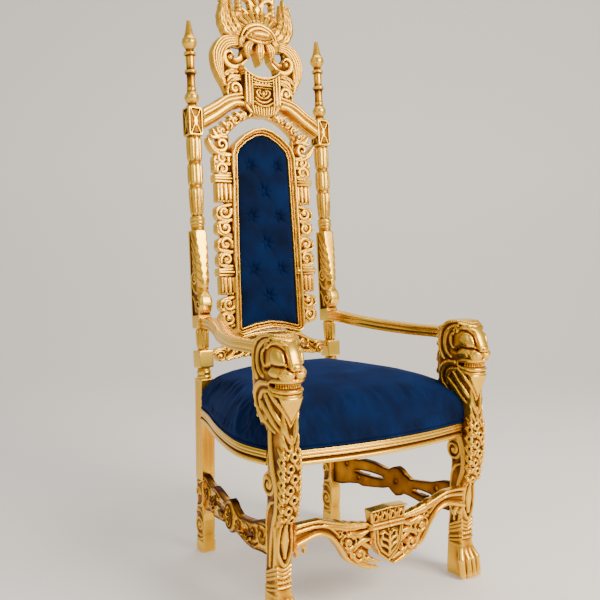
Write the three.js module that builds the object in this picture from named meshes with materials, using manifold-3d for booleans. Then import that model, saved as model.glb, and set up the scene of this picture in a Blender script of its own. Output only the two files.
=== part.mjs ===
// A tall carved and gilded throne with lion-headed front legs, a pierced crest and blue velvet upholstery.
// Millimetres, +Z up, the front faces -Y. The origin is on the floor, under the middle of the throne's outline box.
import * as THREE from "three";
import { mergeVertices } from "three/addons/utils/BufferGeometryUtils.js";
import Module from "manifold-3d";

const wasm = await Module();
wasm.setup();

// Driving dimensions.
const GAP = 0.3; // clearance between pieces that touch
const POST_X = 236; // middle of each back post
const POST_FOOT_Y = 250;
const POST_SEAT_Y = 257; // where the post turns into the raked back
const PIVOT_Z = 520; // height of that turn
const RAKE = THREE.MathUtils.degToRad(5.2);
const POST_SIDE = 45; // side of the square post
const BLOCK_SIDE = 48; // side of the square blocks on it
const LEG_X = 305; // middle of each front leg
const ARM_TOP_Z = 716;
const RAIL_BOTTOM_Z = 405;
const RAIL_TOP_Z = 443;
const SEAT_EDGE_Z = 500; // where the cushion's side turns over into its top
const SEAT_CROWN_Z = 588;

// Turns a height above the floor into a distance up the raked back.
const up = (z) => (z - PIVOT_Z) / Math.cos(RAKE);

// ---- solids ----

function solidOf(geometry) {
  const flat = geometry.index ? geometry.toNonIndexed() : geometry;
  const bare = new THREE.BufferGeometry().setAttribute("position", flat.getAttribute("position"));
  const merged = mergeVertices(bare, 1e-3);
  return new wasm.Manifold(
    new wasm.Mesh({
      numProp: 3,
      vertProperties: new Float32Array(merged.attributes.position.array),
      triVerts: new Uint32Array(merged.index.array),
    }),
  );
}

function geometryOf(solid) {
  const mesh = solid.getMesh();
  const step = mesh.numProp;
  const positions = new Float32Array(mesh.numVert * 3);
  for (let i = 0; i < mesh.numVert; i++) {
    positions.set(mesh.vertProperties.subarray(i * step, i * step + 3), i * 3);
  }
  const geometry = new THREE.BufferGeometry();
  geometry.setAttribute("position", new THREE.BufferAttribute(positions, 3));
  geometry.setIndex(new THREE.BufferAttribute(new Uint32Array(mesh.triVerts), 1));
  return geometry;
}

const union = (solids) => solids.reduce((sum, next) => sum.add(next));
const cut = (solid, ...tools) => tools.reduce((left, tool) => left.subtract(tool), solid);

// The biggest body left after a cut.
function largest(solid) {
  return solid.decompose().reduce((best, next) => (next.volume() > best.volume() ? next : best));
}

function flipFaces(geometry) {
  const flat = geometry.index ? geometry.toNonIndexed() : geometry.clone();
  const p = flat.attributes.position.array;
  for (let i = 0; i < p.length; i += 9) {
    for (let k = 0; k < 3; k++) {
      [p[i + 3 + k], p[i + 6 + k]] = [p[i + 6 + k], p[i + 3 + k]];
    }
  }
  return flat;
}

const mirrorX = (geometry) => flipFaces(geometry.clone().scale(-1, 1, 1));
const mirrored = (solid) => solidOf(mirrorX(geometryOf(solid)));

// ---- shapes ----

// A closed skin over rings of points that all have the same count, with flat ends.
function loft(rings) {
  const positions = [];
  const push = (...points) => points.forEach((p) => positions.push(p.x, p.y, p.z));
  const count = rings[0].length;
  for (let r = 0; r + 1 < rings.length; r++) {
    for (let i = 0; i < count; i++) {
      const j = (i + 1) % count;
      push(rings[r][i], rings[r][j], rings[r + 1][j]);
      push(rings[r][i], rings[r + 1][j], rings[r + 1][i]);
    }
  }
  const last = rings[rings.length - 1];
  for (let i = 1; i + 1 < count; i++) {
    push(rings[0][0], rings[0][i + 1], rings[0][i]);
    push(last[0], last[i], last[i + 1]);
  }
  const geometry = new THREE.BufferGeometry();
  geometry.setAttribute("position", new THREE.Float32BufferAttribute(positions, 3));
  return solidOf(geometry);
}

// A rounded-square ring in a level plane; a higher power is squarer.
function levelRing({ x = 0, y, z, halfX, halfY, power = 4, sides = 12, flute = 0 }) {
  const ring = [];
  for (let i = 0; i < sides; i++) {
    const a = ((i + 0.5) / sides) * Math.PI * 2;
    const c = Math.cos(a);
    const s = Math.sin(a);
    const radius = (Math.abs(c) ** power + Math.abs(s) ** power) ** (-1 / power);
    const k = radius * (i % 2 ? 1 - flute : 1);
    ring.push(new THREE.Vector3(x + halfX * k * c, y + halfY * k * s, z));
  }
  return ring;
}

// An outline in (x, height), made into a board whose front is at y = front and whose back is at y = back.
function board(outline, front, back, holes = []) {
  const shape = new THREE.Shape(outline.map(([x, z]) => new THREE.Vector2(x, z)));
  for (const hole of holes) {
    shape.holes.push(new THREE.Path(hole.map(([x, z]) => new THREE.Vector2(x, z))));
  }
  const geometry = new THREE.ExtrudeGeometry(shape, { depth: back - front, bevelEnabled: false, curveSegments: 6 });
  return solidOf(geometry.rotateX(Math.PI / 2).translate(0, back, 0));
}

// An outline in (y, height), made into a board between two values of x.
const ALONG_X = new THREE.Matrix4().set(0, 0, 1, 0, 1, 0, 0, 0, 0, 1, 0, 0, 0, 0, 0, 1);
function sideBoard(outline, x0, x1) {
  const shape = new THREE.Shape(outline.map(([y, z]) => new THREE.Vector2(y, z)));
  const geometry = new THREE.ExtrudeGeometry(shape, { depth: x1 - x0, bevelEnabled: false });
  return solidOf(geometry.applyMatrix4(ALONG_X).translate(x0, 0, 0));
}

// Points on a smooth line through a few marks.
function smooth(marks, count) {
  const curve = new THREE.SplineCurve(marks.map(([x, y]) => new THREE.Vector2(x, y)));
  return curve.getSpacedPoints(count).map((p) => [p.x, p.y]);
}

// The outline of a band that follows a smooth line; widths are spread evenly along it.
function bandOutline(marks, widths, count = 8, grow = 0) {
  const curve = new THREE.SplineCurve(marks.map(([x, y]) => new THREE.Vector2(x, y)));
  const left = [];
  const right = [];
  for (let i = 0; i <= count; i++) {
    const t = i / count;
    const p = curve.getPoint(t);
    const d = curve.getTangent(t);
    const at = t * (widths.length - 1);
    const k = Math.min(Math.floor(at), widths.length - 2);
    const half = THREE.MathUtils.lerp(widths[k], widths[k + 1], at - k) / 2 + grow;
    left.push([p.x - d.y * half, p.y + d.x * half]);
    right.unshift([p.x + d.y * half, p.y - d.x * half]);
  }
  return [...right, ...left].reverse();
}

const mirrorOutline = (outline) => outline.map(([x, z]) => [-x, z]).reverse();

function circleOutline(x, z, radius, sides = 12) {
  return Array.from({ length: sides }, (_, i) => {
    const a = (i / sides) * Math.PI * 2;
    return [x + radius * Math.cos(a), z + radius * Math.sin(a)];
  });
}

// A pointed leaf from its root towards an angle, in degrees from +x.
function leafOutline(x, z, angle, length, width) {
  const a = THREE.MathUtils.degToRad(angle);
  const along = [Math.cos(a), Math.sin(a)];
  const half = [0.16, 0.5, 0.42, 0];
  const at = [0, 0.35, 0.7, 1];
  const point = (t, side) => [
    x + along[0] * length * t - along[1] * width * side,
    z + along[1] * length * t + along[0] * width * side,
  ];
  const rightSide = at.map((t, i) => point(t, -half[i]));
  const leftSide = at.slice(0, 3).map((t, i) => point(t, half[i]));
  return [...rightSide, ...leftSide.reverse()];
}

// An ellipsoid: size holds its half-lengths along x, y and z, tilt turns it about x.
function blob([x, y, z], [halfX, halfY, halfZ], tilt = 0, sides = 8, turn = 0) {
  const geometry = new THREE.SphereGeometry(1, sides, Math.round(sides * 0.7)).rotateX(Math.PI / 2);
  geometry.scale(halfX, halfY, halfZ).rotateX(THREE.MathUtils.degToRad(tilt));
  geometry.rotateZ(THREE.MathUtils.degToRad(turn)).translate(x, y, z);
  return solidOf(geometry);
}

// A turned piece about a vertical axis; the profile is [radius, height] from the bottom up.
function turned(profile, sides = 12) {
  const points = [[0, profile[0][1]], ...profile, [0, profile[profile.length - 1][1]]];
  const geometry = new THREE.LatheGeometry(points.map(([r, z]) => new THREE.Vector2(r, z)), sides);
  return solidOf(geometry.rotateX(Math.PI / 2));
}

function box(x0, x1, y0, y1, z0, z1) {
  const geometry = new THREE.BoxGeometry(x1 - x0, y1 - y0, z1 - z0);
  return solidOf(geometry.translate((x0 + x1) / 2, (y0 + y1) / 2, (z0 + z1) / 2));
}

// Trims a piece of the back to the space between the posts' blocks.
function betweenPosts(solid) {
  const edge = POST_X - BLOCK_SIDE / 2 - GAP;
  return solid.intersect(box(-edge, edge, -200, 200, -200, 1500));
}

// ---- back posts ----

const CONSOLE = { bottom: 682, top: 979, out: 22 }; // the scrolled bracket above the arm
const MID_BLOCK = [563.5, 616];
const TOP_BLOCK = [1266, 1354];
const DRUM_JOINTS = [1020, 1113, 1186, 1264]; // where the fluted drums meet

// The foot: square below the seat, with two carved volutes swelling its front and back.
function postFoot() {
  const half = POST_SIDE / 2;
  const swell = [[0, 23], [56, 23], [68, 20], [84, 26], [100, 27.5], [120, 25], [140, 20.5], [172, 20], [186, 24], [206, 24], [222, 21], [250, 22.5]];
  const middleY = (z) => POST_FOOT_Y + ((POST_SEAT_Y - POST_FOOT_Y) * z) / PIVOT_Z;
  const front = swell.map(([z, d]) => [middleY(z) - d, z]);
  const rear = swell.map(([z, d]) => [middleY(z) + d, z]);
  const top = PIVOT_Z + 12;
  return sideBoard([...rear, [POST_SEAT_Y + half, top], [POST_SEAT_Y - half, top], ...front.reverse()], -half, half);
}

function flutedDrum(bottom, top, radiusBottom, radiusTop) {
  const shoulder = (top - bottom) * 0.12;
  const ring = (z, radius, flute) => levelRing({ y: 0, z, halfX: radius, halfY: radius, power: 2, sides: 12, flute });
  return loft([
    ring(bottom - 1, radiusBottom * 0.82, 0),
    ring(bottom + shoulder, radiusBottom, 0.15),
    ring(top - shoulder, radiusTop, 0.15),
    ring(top + 1, radiusTop * 0.82, 0),
  ]);
}

function postFinial() {
  const base = up(TOP_BLOCK[1]) - 1;
  const profile = [
    [17, 0], [14, 13], [23, 28], [23, 44], [14, 57], [13, 106], [20, 112], [13, 118],
    [14, 160], [20, 166], [12, 176], [24, 197], [24, 210], [13, 228], [6, 270],
  ];
  return turned(profile.map(([r, z]) => [r, base + z]), 8);
}

// The carved bracket on the post's front: straight behind, swelling forward into a scroll at the arm.
function postConsole() {
  const half = POST_SIDE / 2;
  const front = [
    [-half - 2, up(728)], [-half - 16, up(738)], [-half - CONSOLE.out, up(756)], [-half - 19, up(774)],
    [-half - 11, up(794)], [-half - 13, up(840)], [-half - 10, up(890)], [-half - 4, up(950)],
  ];
  const outline = [[half, up(CONSOLE.bottom)], [half, up(CONSOLE.top)], [-half, up(CONSOLE.top)], ...front.reverse()];
  return sideBoard([...outline, [-half, up(CONSOLE.bottom)]], -half, half);
}

// A square block, with a raised lozenge on its front if it has a panel.
function postBlock([bottom, top], panel) {
  const half = BLOCK_SIDE / 2;
  const body = box(-half, half, -half, half, up(bottom), up(top));
  if (!panel) return body;
  const middle = (up(bottom) + up(top)) / 2;
  const tall = (top - bottom) / 2 - 8;
  const lozenge = [[-half + 8, middle], [0, middle - tall], [half - 8, middle], [0, middle + tall]];
  return body.add(board(lozenge, -half - 3, -half + 1));
}

function backPost() {
  const raked = union([
    turned([[19, -30], [19, 8], [23, 14], [19, 21], [23, 29], [19, 38], [19, 46]], 8),
    postBlock(MID_BLOCK, false),
    flutedDrum(up(MID_BLOCK[1]), up(CONSOLE.bottom), 19, 21),
    postConsole(),
    turned([[20, up(976)], [20, up(994)], [24, up(1001)], [20.5, up(1008)], [23.5, up(1022)]], 10),
    flutedDrum(up(DRUM_JOINTS[0]), up(DRUM_JOINTS[1]), 20, 24),
    flutedDrum(up(DRUM_JOINTS[1]), up(DRUM_JOINTS[2]), 23, 24),
    flutedDrum(up(DRUM_JOINTS[2]), up(DRUM_JOINTS[3]) + 3, 23, 24.5),
    postBlock(TOP_BLOCK, true),
    postFinial(),
  ]);
  return rakedBack(raked).add(postFoot());
}

// Moves a piece drawn upright at the turn onto the raked back.
function rakedBack(solid) {
  const geometry = geometryOf(solid).rotateX(-RAKE).translate(0, POST_SEAT_Y, PIVOT_Z);
  return solidOf(geometry);
}

// ---- front legs with lions' heads ----

// Sections of the leg: height, front edge, back edge, half-width.
const LEG_SECTIONS = [
  [0, -330, -262, 25], [14, -336, -261, 27], [44, -336, -261, 27], [84, -321, -261, 24.5], [128, -317, -261, 24],
  [134, -324, -261, 26], [146, -318, -261, 24], [262, -320, -268, 26], [286, -342, -270, 27.5], [350, -353, -273, 28.5],
  [410, -356, -275, 28.5], [470, -350, -276, 27], [545, -338, -262, 24],
];
const LEG_SCROLL = { y: -284, z: 362, radius: 30, half: 30 };
const KNEE = [[0, -315, 208], [16, 13, 56], 0]; // the drop-shaped relief on the shin
const TOES = 4;
const BUDS = { bottom: 276, top: 402, count: 4, half: 21 }; // leaf buds up the front of the leg

function legBlank(grow = 0) {
  const rings = LEG_SECTIONS.map(([z, front, back, half]) =>
    levelRing({ y: (front + back) / 2, z, halfX: half + grow, halfY: (back - front) / 2 + grow, power: 6, sides: 8 }),
  );
  return loft(rings);
}

function legCarving() {
  const pieces = [blob(...KNEE, 8)];
  for (let i = 0; i < TOES; i++) {
    const x = (i - (TOES - 1) / 2) * 14;
    pieces.push(blob([x, -326 + Math.abs(x) * 0.25, 30], [7.8, 21, 30], 8, 6));
  }
  const { bottom, top, count, half } = BUDS;
  const rise = (top - bottom) / count;
  const edge = [];
  for (let i = 0; i < count; i++) {
    const z = bottom + i * rise;
    const lean = 5 * Math.sin((i / (count - 1)) * Math.PI * 0.6);
    edge.push([-346 - lean, z], [-357 - lean, z + rise * 0.35], [-357 - lean, z + rise * 0.7]);
  }
  pieces.push(sideBoard([[-330, bottom], ...edge, [-348, top], [-330, top]], -half, half));
  return pieces;
}

// The scroll behind the leg and the S-shaped band that sweeps past it down the side.
function legSide(grow = 0) {
  const { y, z, radius, half } = LEG_SCROLL;
  const marks = [[-303, 505], [-282, 450], [-300, 400], [-326, 352], [-322, 300], [-300, 262], [-292, 220]];
  const band = bandOutline(marks, [10, 16, 18, 16, 14, 12, 6], 7, grow);
  const outer = half + grow;
  return [sideBoard(circleOutline(y, z, radius + grow, 10), -outer, outer), sideBoard(band, 1 - outer, outer - 1)];
}

// A scalloped plate seen from the side: the mane's locks round its edge.
function maneOutline(y, z, halfY, halfZ, from, to, locks) {
  const points = [];
  for (let i = 0; i <= locks * 2; i++) {
    const a = THREE.MathUtils.degToRad(THREE.MathUtils.lerp(from, to, i / (locks * 2)));
    const k = i % 2 ? 1.06 : 0.95;
    points.push([y + halfY * k * Math.cos(a), z + halfZ * k * Math.sin(a)]);
  }
  return points;
}

// The head by features: [middle x, y, z], [half sizes], tilt. Those off the middle are on both sides.
const HEAD = {
  skull: [[0, -308, 682], [39, 50, 42], -8],
  brow: [[18, -338, 698], [17, 14, 13], -20],
  bridge: [[0, -348, 674], [16, 34, 18], 44],
  pad: [[17, -355, 638], [20, 28, 15], 0],
  nose: [[0, -373, 656], [15, 11, 9], 0],
  cheek: [[29, -320, 648], [17, 34, 30], 0],
  jaw: [[0, -338, 607], [29, 42, 11], 6],
  beard: [[0, -324, 576], [26, 30, 50], 12],
};

function manePlates() {
  return [
    sideBoard([...maneOutline(-280, 622, 72, 103, 98, -80, 6), [-330, 560], [-328, 690]], -31, 31),
    sideBoard([...maneOutline(-284, 634, 54, 80, 104, -74, 5), [-332, 590], [-326, 690]], -44, 44),
  ];
}

function lionHead() {
  const pieces = manePlates();
  for (const [[x, y, z], size, tilt] of Object.values(HEAD)) {
    for (const side of x ? [-1, 1] : [1]) pieces.push(blob([side * x, y, z], size, tilt, 6));
  }
  return pieces;
}

function frontLeg() {
  const solid = union([legBlank(), ...legCarving(), ...legSide(), ...lionHead()]);
  const floor = box(-100, 100, -500, 0, -50, 0);
  return cut(solid, floor);
}

// ---- arms ----

// The line of the arm in plan and height at its top, from the post forward: [x, y, top].
const ARM_LINE = [
  [229, 245, 717], [234, 190, 716], [250, 120, 708], [282, 30, 700], [304, -70, 697], [307, -150, 699], [306, -236, 702],
];
const ARM_SECTION = { half: 24, thick: 31, ease: 6 };

function armBar(grow = 0) {
  const curve = new THREE.CatmullRomCurve3(ARM_LINE.map(([x, y, z]) => new THREE.Vector3(x, y, z)));
  const { half, thick, ease } = ARM_SECTION;
  const count = 12;
  const rings = [];
  for (let i = 0; i <= count; i++) {
    const p = curve.getPoint(i / count);
    const d = curve.getTangent(i / count);
    const across = new THREE.Vector3(-d.y, d.x, 0).normalize();
    const w = half + grow;
    const corners = [[-w, -thick - grow], [w, -thick - grow], [w, -ease], [w - ease, grow], [0, 3 + grow], [-w + ease, grow], [-w, -ease]];
    rings.push(corners.map(([s, z]) => new THREE.Vector3(p.x + across.x * s, p.y + across.y * s, p.z + z)));
  }
  return loft(rings);
}

// ---- the pierced crest ----

const SHIELD = { half: 67, top: 1490, sag: 25, shoulder: 1384, tip: 1338 };
const BALUSTER_X = 62;
const CREST_BACK = 13;

const upMarks = (marks) => marks.map(([x, z]) => [x, up(z)]);

function shieldOutline(inset = 0) {
  const { half, top, sag, shoulder, tip } = SHIELD;
  const h = half - inset;
  const right = [[0, tip + inset], [h * 0.72, shoulder - 26 + inset], [h, shoulder + inset], [h, top - inset], [h * 0.5, top - sag * 0.8 - inset]];
  const points = upMarks([...right, [0, top - sag - inset]]);
  return [...points, ...mirrorOutline(points).slice(1, -1)];
}

// The raking rail that climbs from a post to the shield.
const RAKING_RAIL = [[206, 1320], [165, 1346], [118, 1377], [58, 1394]];

// A filled wing between the shield and the great scroll, with its triangular opening.
const WING = [
  [40, 1384], [118, 1396], [132, 1428], [150, 1456], [164, 1490], [166, 1532], [150, 1570], [120, 1592], [84, 1594],
  [40, 1584], [40, 1534], [56, 1508], [60, 1490],
];
const WING_HOLE = [[62, 1556], [64, 1534], [84, 1526], [98, 1546], [94, 1558]];
const SCROLL = [[44, 1576], [84, 1578], [124, 1566], [146, 1530], [143, 1482], [126, 1432]];

function crestSide() {
  const pieces = [
    board(bandOutline(upMarks(RAKING_RAIL), [60, 56, 52, 44], 5), -20, CREST_BACK),
    board(bandOutline(upMarks(RAKING_RAIL).map(([x, z]) => [x, z + 15]), [18, 17, 16, 14], 4), -26, -18),
    board(circleOutline(62, up(1352), 19, 10), -24, CREST_BACK),
    board(upMarks(WING), -8, CREST_BACK - 1, [upMarks(WING_HOLE)]),
    board(bandOutline(upMarks(SCROLL), [26, 38, 46, 46, 34, 14], 8), -20, 0),
    board(bandOutline(upMarks([[124, 1524], [110, 1506], [92, 1508], [88, 1524]]), [26, 24, 18, 10], 4), -18, 0),
    board(circleOutline(98, up(1424), 22, 10), -26, 0),
    board(bandOutline(upMarks([[84, 1440], [92, 1466], [116, 1462]]), [12, 18, 8], 4), -20, 0),
  ];
  // Feathered leaves that rise beside the crown.
  const leaves = [
    [[44, 1592], [78, 1618], [102, 1662], [108, 1740]],
    [[70, 1594], [104, 1616], [126, 1652], [128, 1702]],
  ];
  leaves.forEach((marks, i) => pieces.push(board(bandOutline(upMarks(marks), [26, 28, 20, 4], 4), -18 + 3 * i, CREST_BACK - 6)));
  return union(pieces);
}

// The open flower over the shield: rays above, petals below and an oval boss.
function crestFlower() {
  const pieces = [board(circleOutline(0, up(1588), 46, 10), -18, CREST_BACK - 4)];
  const rays = 7;
  for (let i = 0; i < rays; i++) {
    const angle = THREE.MathUtils.lerp(36, 144, i / (rays - 1));
    const length = 86 - 4 * Math.abs(i - (rays - 1) / 2);
    pieces.push(board(leafOutline(0, up(1592), angle, length, 32), -24 + 3 * (i % 2), 4));
  }
  for (const [angle, length] of [[200, 54], [236, 66], [270, 76], [304, 66], [340, 54]]) {
    pieces.push(board(leafOutline(0, up(1586), angle, length, 34), -28, 4));
  }
  pieces.push(blob([0, -28, up(1596)], [24, 16, 15], 0, 8));
  return pieces;
}

function crestCrown() {
  const profile = [[9, 0], [8, 14], [13, 24], [8, 34], [12, 48], [7, 60], [11, 76], [2, 112]];
  const arch = [[BALUSTER_X, 1712], [44, 1722], [22, 1706], [0, 1690]];
  const tracery = [[4, 1694], [22, 1724], [20, 1754], [0, 1776]];
  const pieces = [];
  for (const side of [-1, 1]) {
    pieces.push(turned(profile.map(([r, z]) => [r, up(1638) + z]), 6).translate([side * BALUSTER_X, -8, 0]));
    for (const marks of [arch, tracery]) {
      const outline = bandOutline(upMarks(marks), [12, 13, 12, 12], 4);
      pieces.push(board(side > 0 ? outline : mirrorOutline(outline), -16, 0));
    }
  }
  pieces.push(board(upMarks([[-14, 1684], [0, 1662], [14, 1684], [0, 1706]]), -20, 2));
  pieces.push(board(leafOutline(0, up(1722), 90, 78, 22), -18, 0));
  return pieces;
}

function crest() {
  const side = crestSide();
  const shield = board(shieldOutline(), -30, CREST_BACK);
  const field = board(shieldOutline(15), -38, -28);
  return betweenPosts(union([side, mirrored(side), shield, field, ...crestFlower(), ...crestCrown()]));
}

// ---- the back: an arched frame, pierced strips and the pad ----

// The arched outline of the pad; grow widens it evenly.
function archOutline(grow = 0) {
  const marks = [
    [0, 694 - grow], [55, 688 - grow], [103 + grow, 676 - grow], [99 + grow, 950], [92 + grow, 1214 + grow * 0.3],
    [84 + grow * 0.9, 1236 + grow * 0.4], [56 + grow * 0.75, 1261 + grow * 0.7], [24 + grow * 0.4, 1279 + grow * 0.95], [0, 1284 + grow],
  ];
  const points = upMarks(marks);
  return [...points, ...mirrorOutline(points).slice(1, -1)];
}

const FRAME_WIDE = 26; // width of the arched moulding
const STRIP = { inner: 112, outer: 172, bottom: 684, top: 1222, cells: 7, front: -12, back: 11 };
const COLLARS = [1119, 850];

// A pierced strip with a scalloped edge that opens into a wing and leafwork over the arch.
function pierced() {
  const { inner, outer, bottom, top, cells, front, back } = STRIP;
  const cell = (top - bottom) / cells;
  const edge = [];
  const holes = [];
  for (let i = 0; i < cells; i++) {
    const z = bottom + i * cell;
    edge.push([outer - 6, z + 3], [outer + 2, z + cell * 0.32], [outer + 2, z + cell * 0.7]);
    const lean = i % 2 ? 5 : -5;
    holes.push([[143 + lean, z + 10], [151 + lean, z + cell * 0.45], [147 - lean, z + cell - 10], [139 - lean, z + cell * 0.55]]);
  }
  const crown = [
    [outer - 6, top], [182, 1240], [194, 1262], [180, 1280], [163, 1284], [150, 1302], [136, 1310], [122, 1330],
    [104, 1338], [88, 1352], [66, 1354], [36, 1336], [30, 1300], [80, 1280], [inner, 1230],
  ];
  holes.push([[152, 1244], [160, 1256], [152, 1272], [144, 1262]]);
  holes.push([[132, 1262], [138, 1274], [124, 1294], [116, 1288]]);
  holes.push([[102, 1292], [110, 1300], [94, 1318], [86, 1308]]);
  const outline = [[inner, bottom], ...edge, ...crown];
  const pieces = [board(upMarks(outline), front, back, holes.map(upMarks))];
  for (const z of COLLARS) {
    pieces.push(board(upMarks([[inner, z - 8], [outer + 6, z - 8], [outer + 6, z + 8], [inner, z + 8]]), front - 6, back));
    pieces.push(board(upMarks([[126, z - 62], [outer - 1, z - 62], [outer - 1, z - 6], [126, z - 6]]), front - 2, back));
  }
  return union(pieces);
}

function backFrame() {
  const ring = board(archOutline(FRAME_WIDE), -17, 14, [archOutline(0)]);
  const bead = board(archOutline(FRAME_WIDE - 5), -25, -16, [archOutline(9)]);
  const half = pierced();
  const body = union([ring, bead, half, mirrored(half)]);
  const lower = board(lowerRailOutline(GAP), -60, 60);
  const inside = board(archOutline(0), -60, 60);
  return largest(cut(body, swollen(crest()), lower, inside));
}

function backPad() {
  const body = board(archOutline(-GAP), -12, 12);
  const crown = board(archOutline(-8), -20, -10);
  return body.add(crown);
}

// ---- the carved rail under the back ----

function lowerRailOutline(grow = 0) {
  const edge = POST_X - BLOCK_SIDE / 2 - GAP;
  const top = [[0, 664], [60, 660], [112, 648], [150, 626], [edge, 611]];
  const low = [[edge, 574], [172, 572], [140, 580], [80, 583], [0, 571]];
  const marks = [...top.map(([x, z]) => [x, z + grow]), ...low.map(([x, z]) => [x, z - grow])];
  const points = upMarks(marks);
  return [...points, ...mirrorOutline(points).slice(1, -1)].reverse();
}

function lowerRail() {
  const eyes = [[58, 618, 11], [102, 608, 9], [138, 600, 8]];
  const holes = eyes.flatMap(([x, z, r]) => [-1, 1].map((side) => circleOutline(side * x, up(z), r, 6)));
  const pieces = [board(lowerRailOutline(), -12, 12, holes)];
  for (const side of [-1, 1]) {
    pieces.push(board(circleOutline(side * 182, up(592), 17, 10), -20, -10));
    for (const [angle, length] of [[18, 96], [-6, 100]]) {
      const leaf = leafOutline(8, up(620), angle, length, 26);
      pieces.push(board(side > 0 ? leaf : mirrorOutline(leaf), -18, -10));
    }
  }
  pieces.push(blob([0, -12, up(620)], [20, 9, 26], 0, 8));
  return union(pieces);
}

// ---- seat ----

// Outer plan line of the seat frame, right half, from the back post forward to the middle of the front.
const SEAT_SIDE = [[262, 236], [282, 150], [318, 30], [344, -80], [355, -160], [350, -220], [332, -282]];
const SEAT_FRONT = [[304, -318], [230, -330], [120, -346], [0, -352]];
const SEAT_BACK_Y = 268;
const RAIL_WIDE = 44;

// A moulded rail along a plan line: hollow and rounds on its outer face, flat inside.
function mouldedRail(marks, count) {
  const line = new THREE.SplineCurve(marks.map(([x, y]) => new THREE.Vector2(x, y)));
  const low = RAIL_BOTTOM_Z;
  const high = RAIL_TOP_Z;
  const section = [
    [RAIL_WIDE, low], [2, low], [0, low + 5], [0, low + 13], [6, low + 16], [6, low + 25], [0, low + 28], [1, high],
    [RAIL_WIDE, high],
  ];
  const rings = [];
  for (let i = 0; i <= count; i++) {
    const p = line.getPoint(i / count);
    const d = line.getTangent(i / count);
    rings.push(section.map(([s, z]) => new THREE.Vector3(p.x + d.y * s, p.y - d.x * s, z)));
  }
  return loft(rings);
}

// A solid widened by a small step about its own middle, for cutting what meets it.
function swollen(solid, step = GAP) {
  const { min, max } = solid.boundingBox();
  const middle = min.map((low, k) => (low + max[k]) / 2);
  const factors = min.map((low, k) => (max[k] - low + 2 * step) / (max[k] - low));
  return solid.translate(middle.map((v) => -v)).scale(factors).translate(middle);
}

// The two front legs and two back posts in plain form, a little oversize.
function uprights(step) {
  const bulges = [...manePlates(), blob(...HEAD.beard, 6), blob(...KNEE, 8)].map((piece) => swollen(piece, step));
  const plainLeg = union([legBlank(step * 1.5), ...legSide(step), ...bulges]);
  const plainPost = swollen(postFoot().add(box(-23, 23, 232, 290, 500, 620)), step);
  return [
    plainLeg.translate([LEG_X, 0, 0]),
    plainLeg.translate([-LEG_X, 0, 0]),
    plainPost.translate([POST_X, 0, 0]),
    plainPost.translate([-POST_X, 0, 0]),
  ];
}

function seatRails() {
  const legInner = LEG_X - LEG_SCROLL.half + 1 - GAP;
  const legBack = -275.5 + GAP;
  const frontMarks = [...SEAT_FRONT, ...mirrorOutline(SEAT_FRONT).slice(1)];
  const front = mouldedRail(frontMarks, 10).intersect(box(-legInner, legInner, -400, 0, 0, 900));
  const edge = POST_X - POST_SIDE / 2 - GAP;
  const back = box(-edge, edge, 238, 276, RAIL_BOTTOM_Z, RAIL_TOP_Z);
  const behindLeg = box(200, 400, legBack, 400, 0, 900);
  const right = largest(cut(mouldedRail(SEAT_SIDE, 8).intersect(behindLeg), ...uprights(GAP)));
  return { front, back, right, left: mirrored(right) };
}

// The overstuffed seat: straight sides above the rails, then a high dome.
function seatCushion() {
  const inset = 4;
  const plan = [...SEAT_SIDE.map(([x, y]) => [x - inset, y]), ...SEAT_FRONT.map(([x, y]) => [x, y + inset])];
  const rear = [[0, SEAT_BACK_Y], [SEAT_SIDE[0][0] - inset, SEAT_BACK_Y]];
  const half = [...rear, ...plan].map(([x, y]) => new THREE.Vector2(x, y));
  const outline = [...half, ...half.slice(1, -1).map((p) => new THREE.Vector2(-p.x, p.y)).reverse()].reverse();
  const middleY = -20;
  const layer = (shrink, z) =>
    outline.map((p) => new THREE.Vector3(p.x * shrink, (p.y - middleY) * shrink + middleY, z));
  const profile = [
    [1, RAIL_TOP_Z + GAP], [1.01, RAIL_TOP_Z + 28], [0.985, SEAT_EDGE_Z], [0.92, SEAT_EDGE_Z + 23],
    [0.78, SEAT_EDGE_Z + 48], [0.55, SEAT_EDGE_Z + 71], [0.24, SEAT_CROWN_Z],
  ];
  const dome = loft(profile.map(([shrink, z]) => layer(shrink, z)));
  return largest(cut(dome, ...uprights(1)));
}

// ---- stretchers ----

const STRETCHER = { front: -335, back: -311 };

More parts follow.
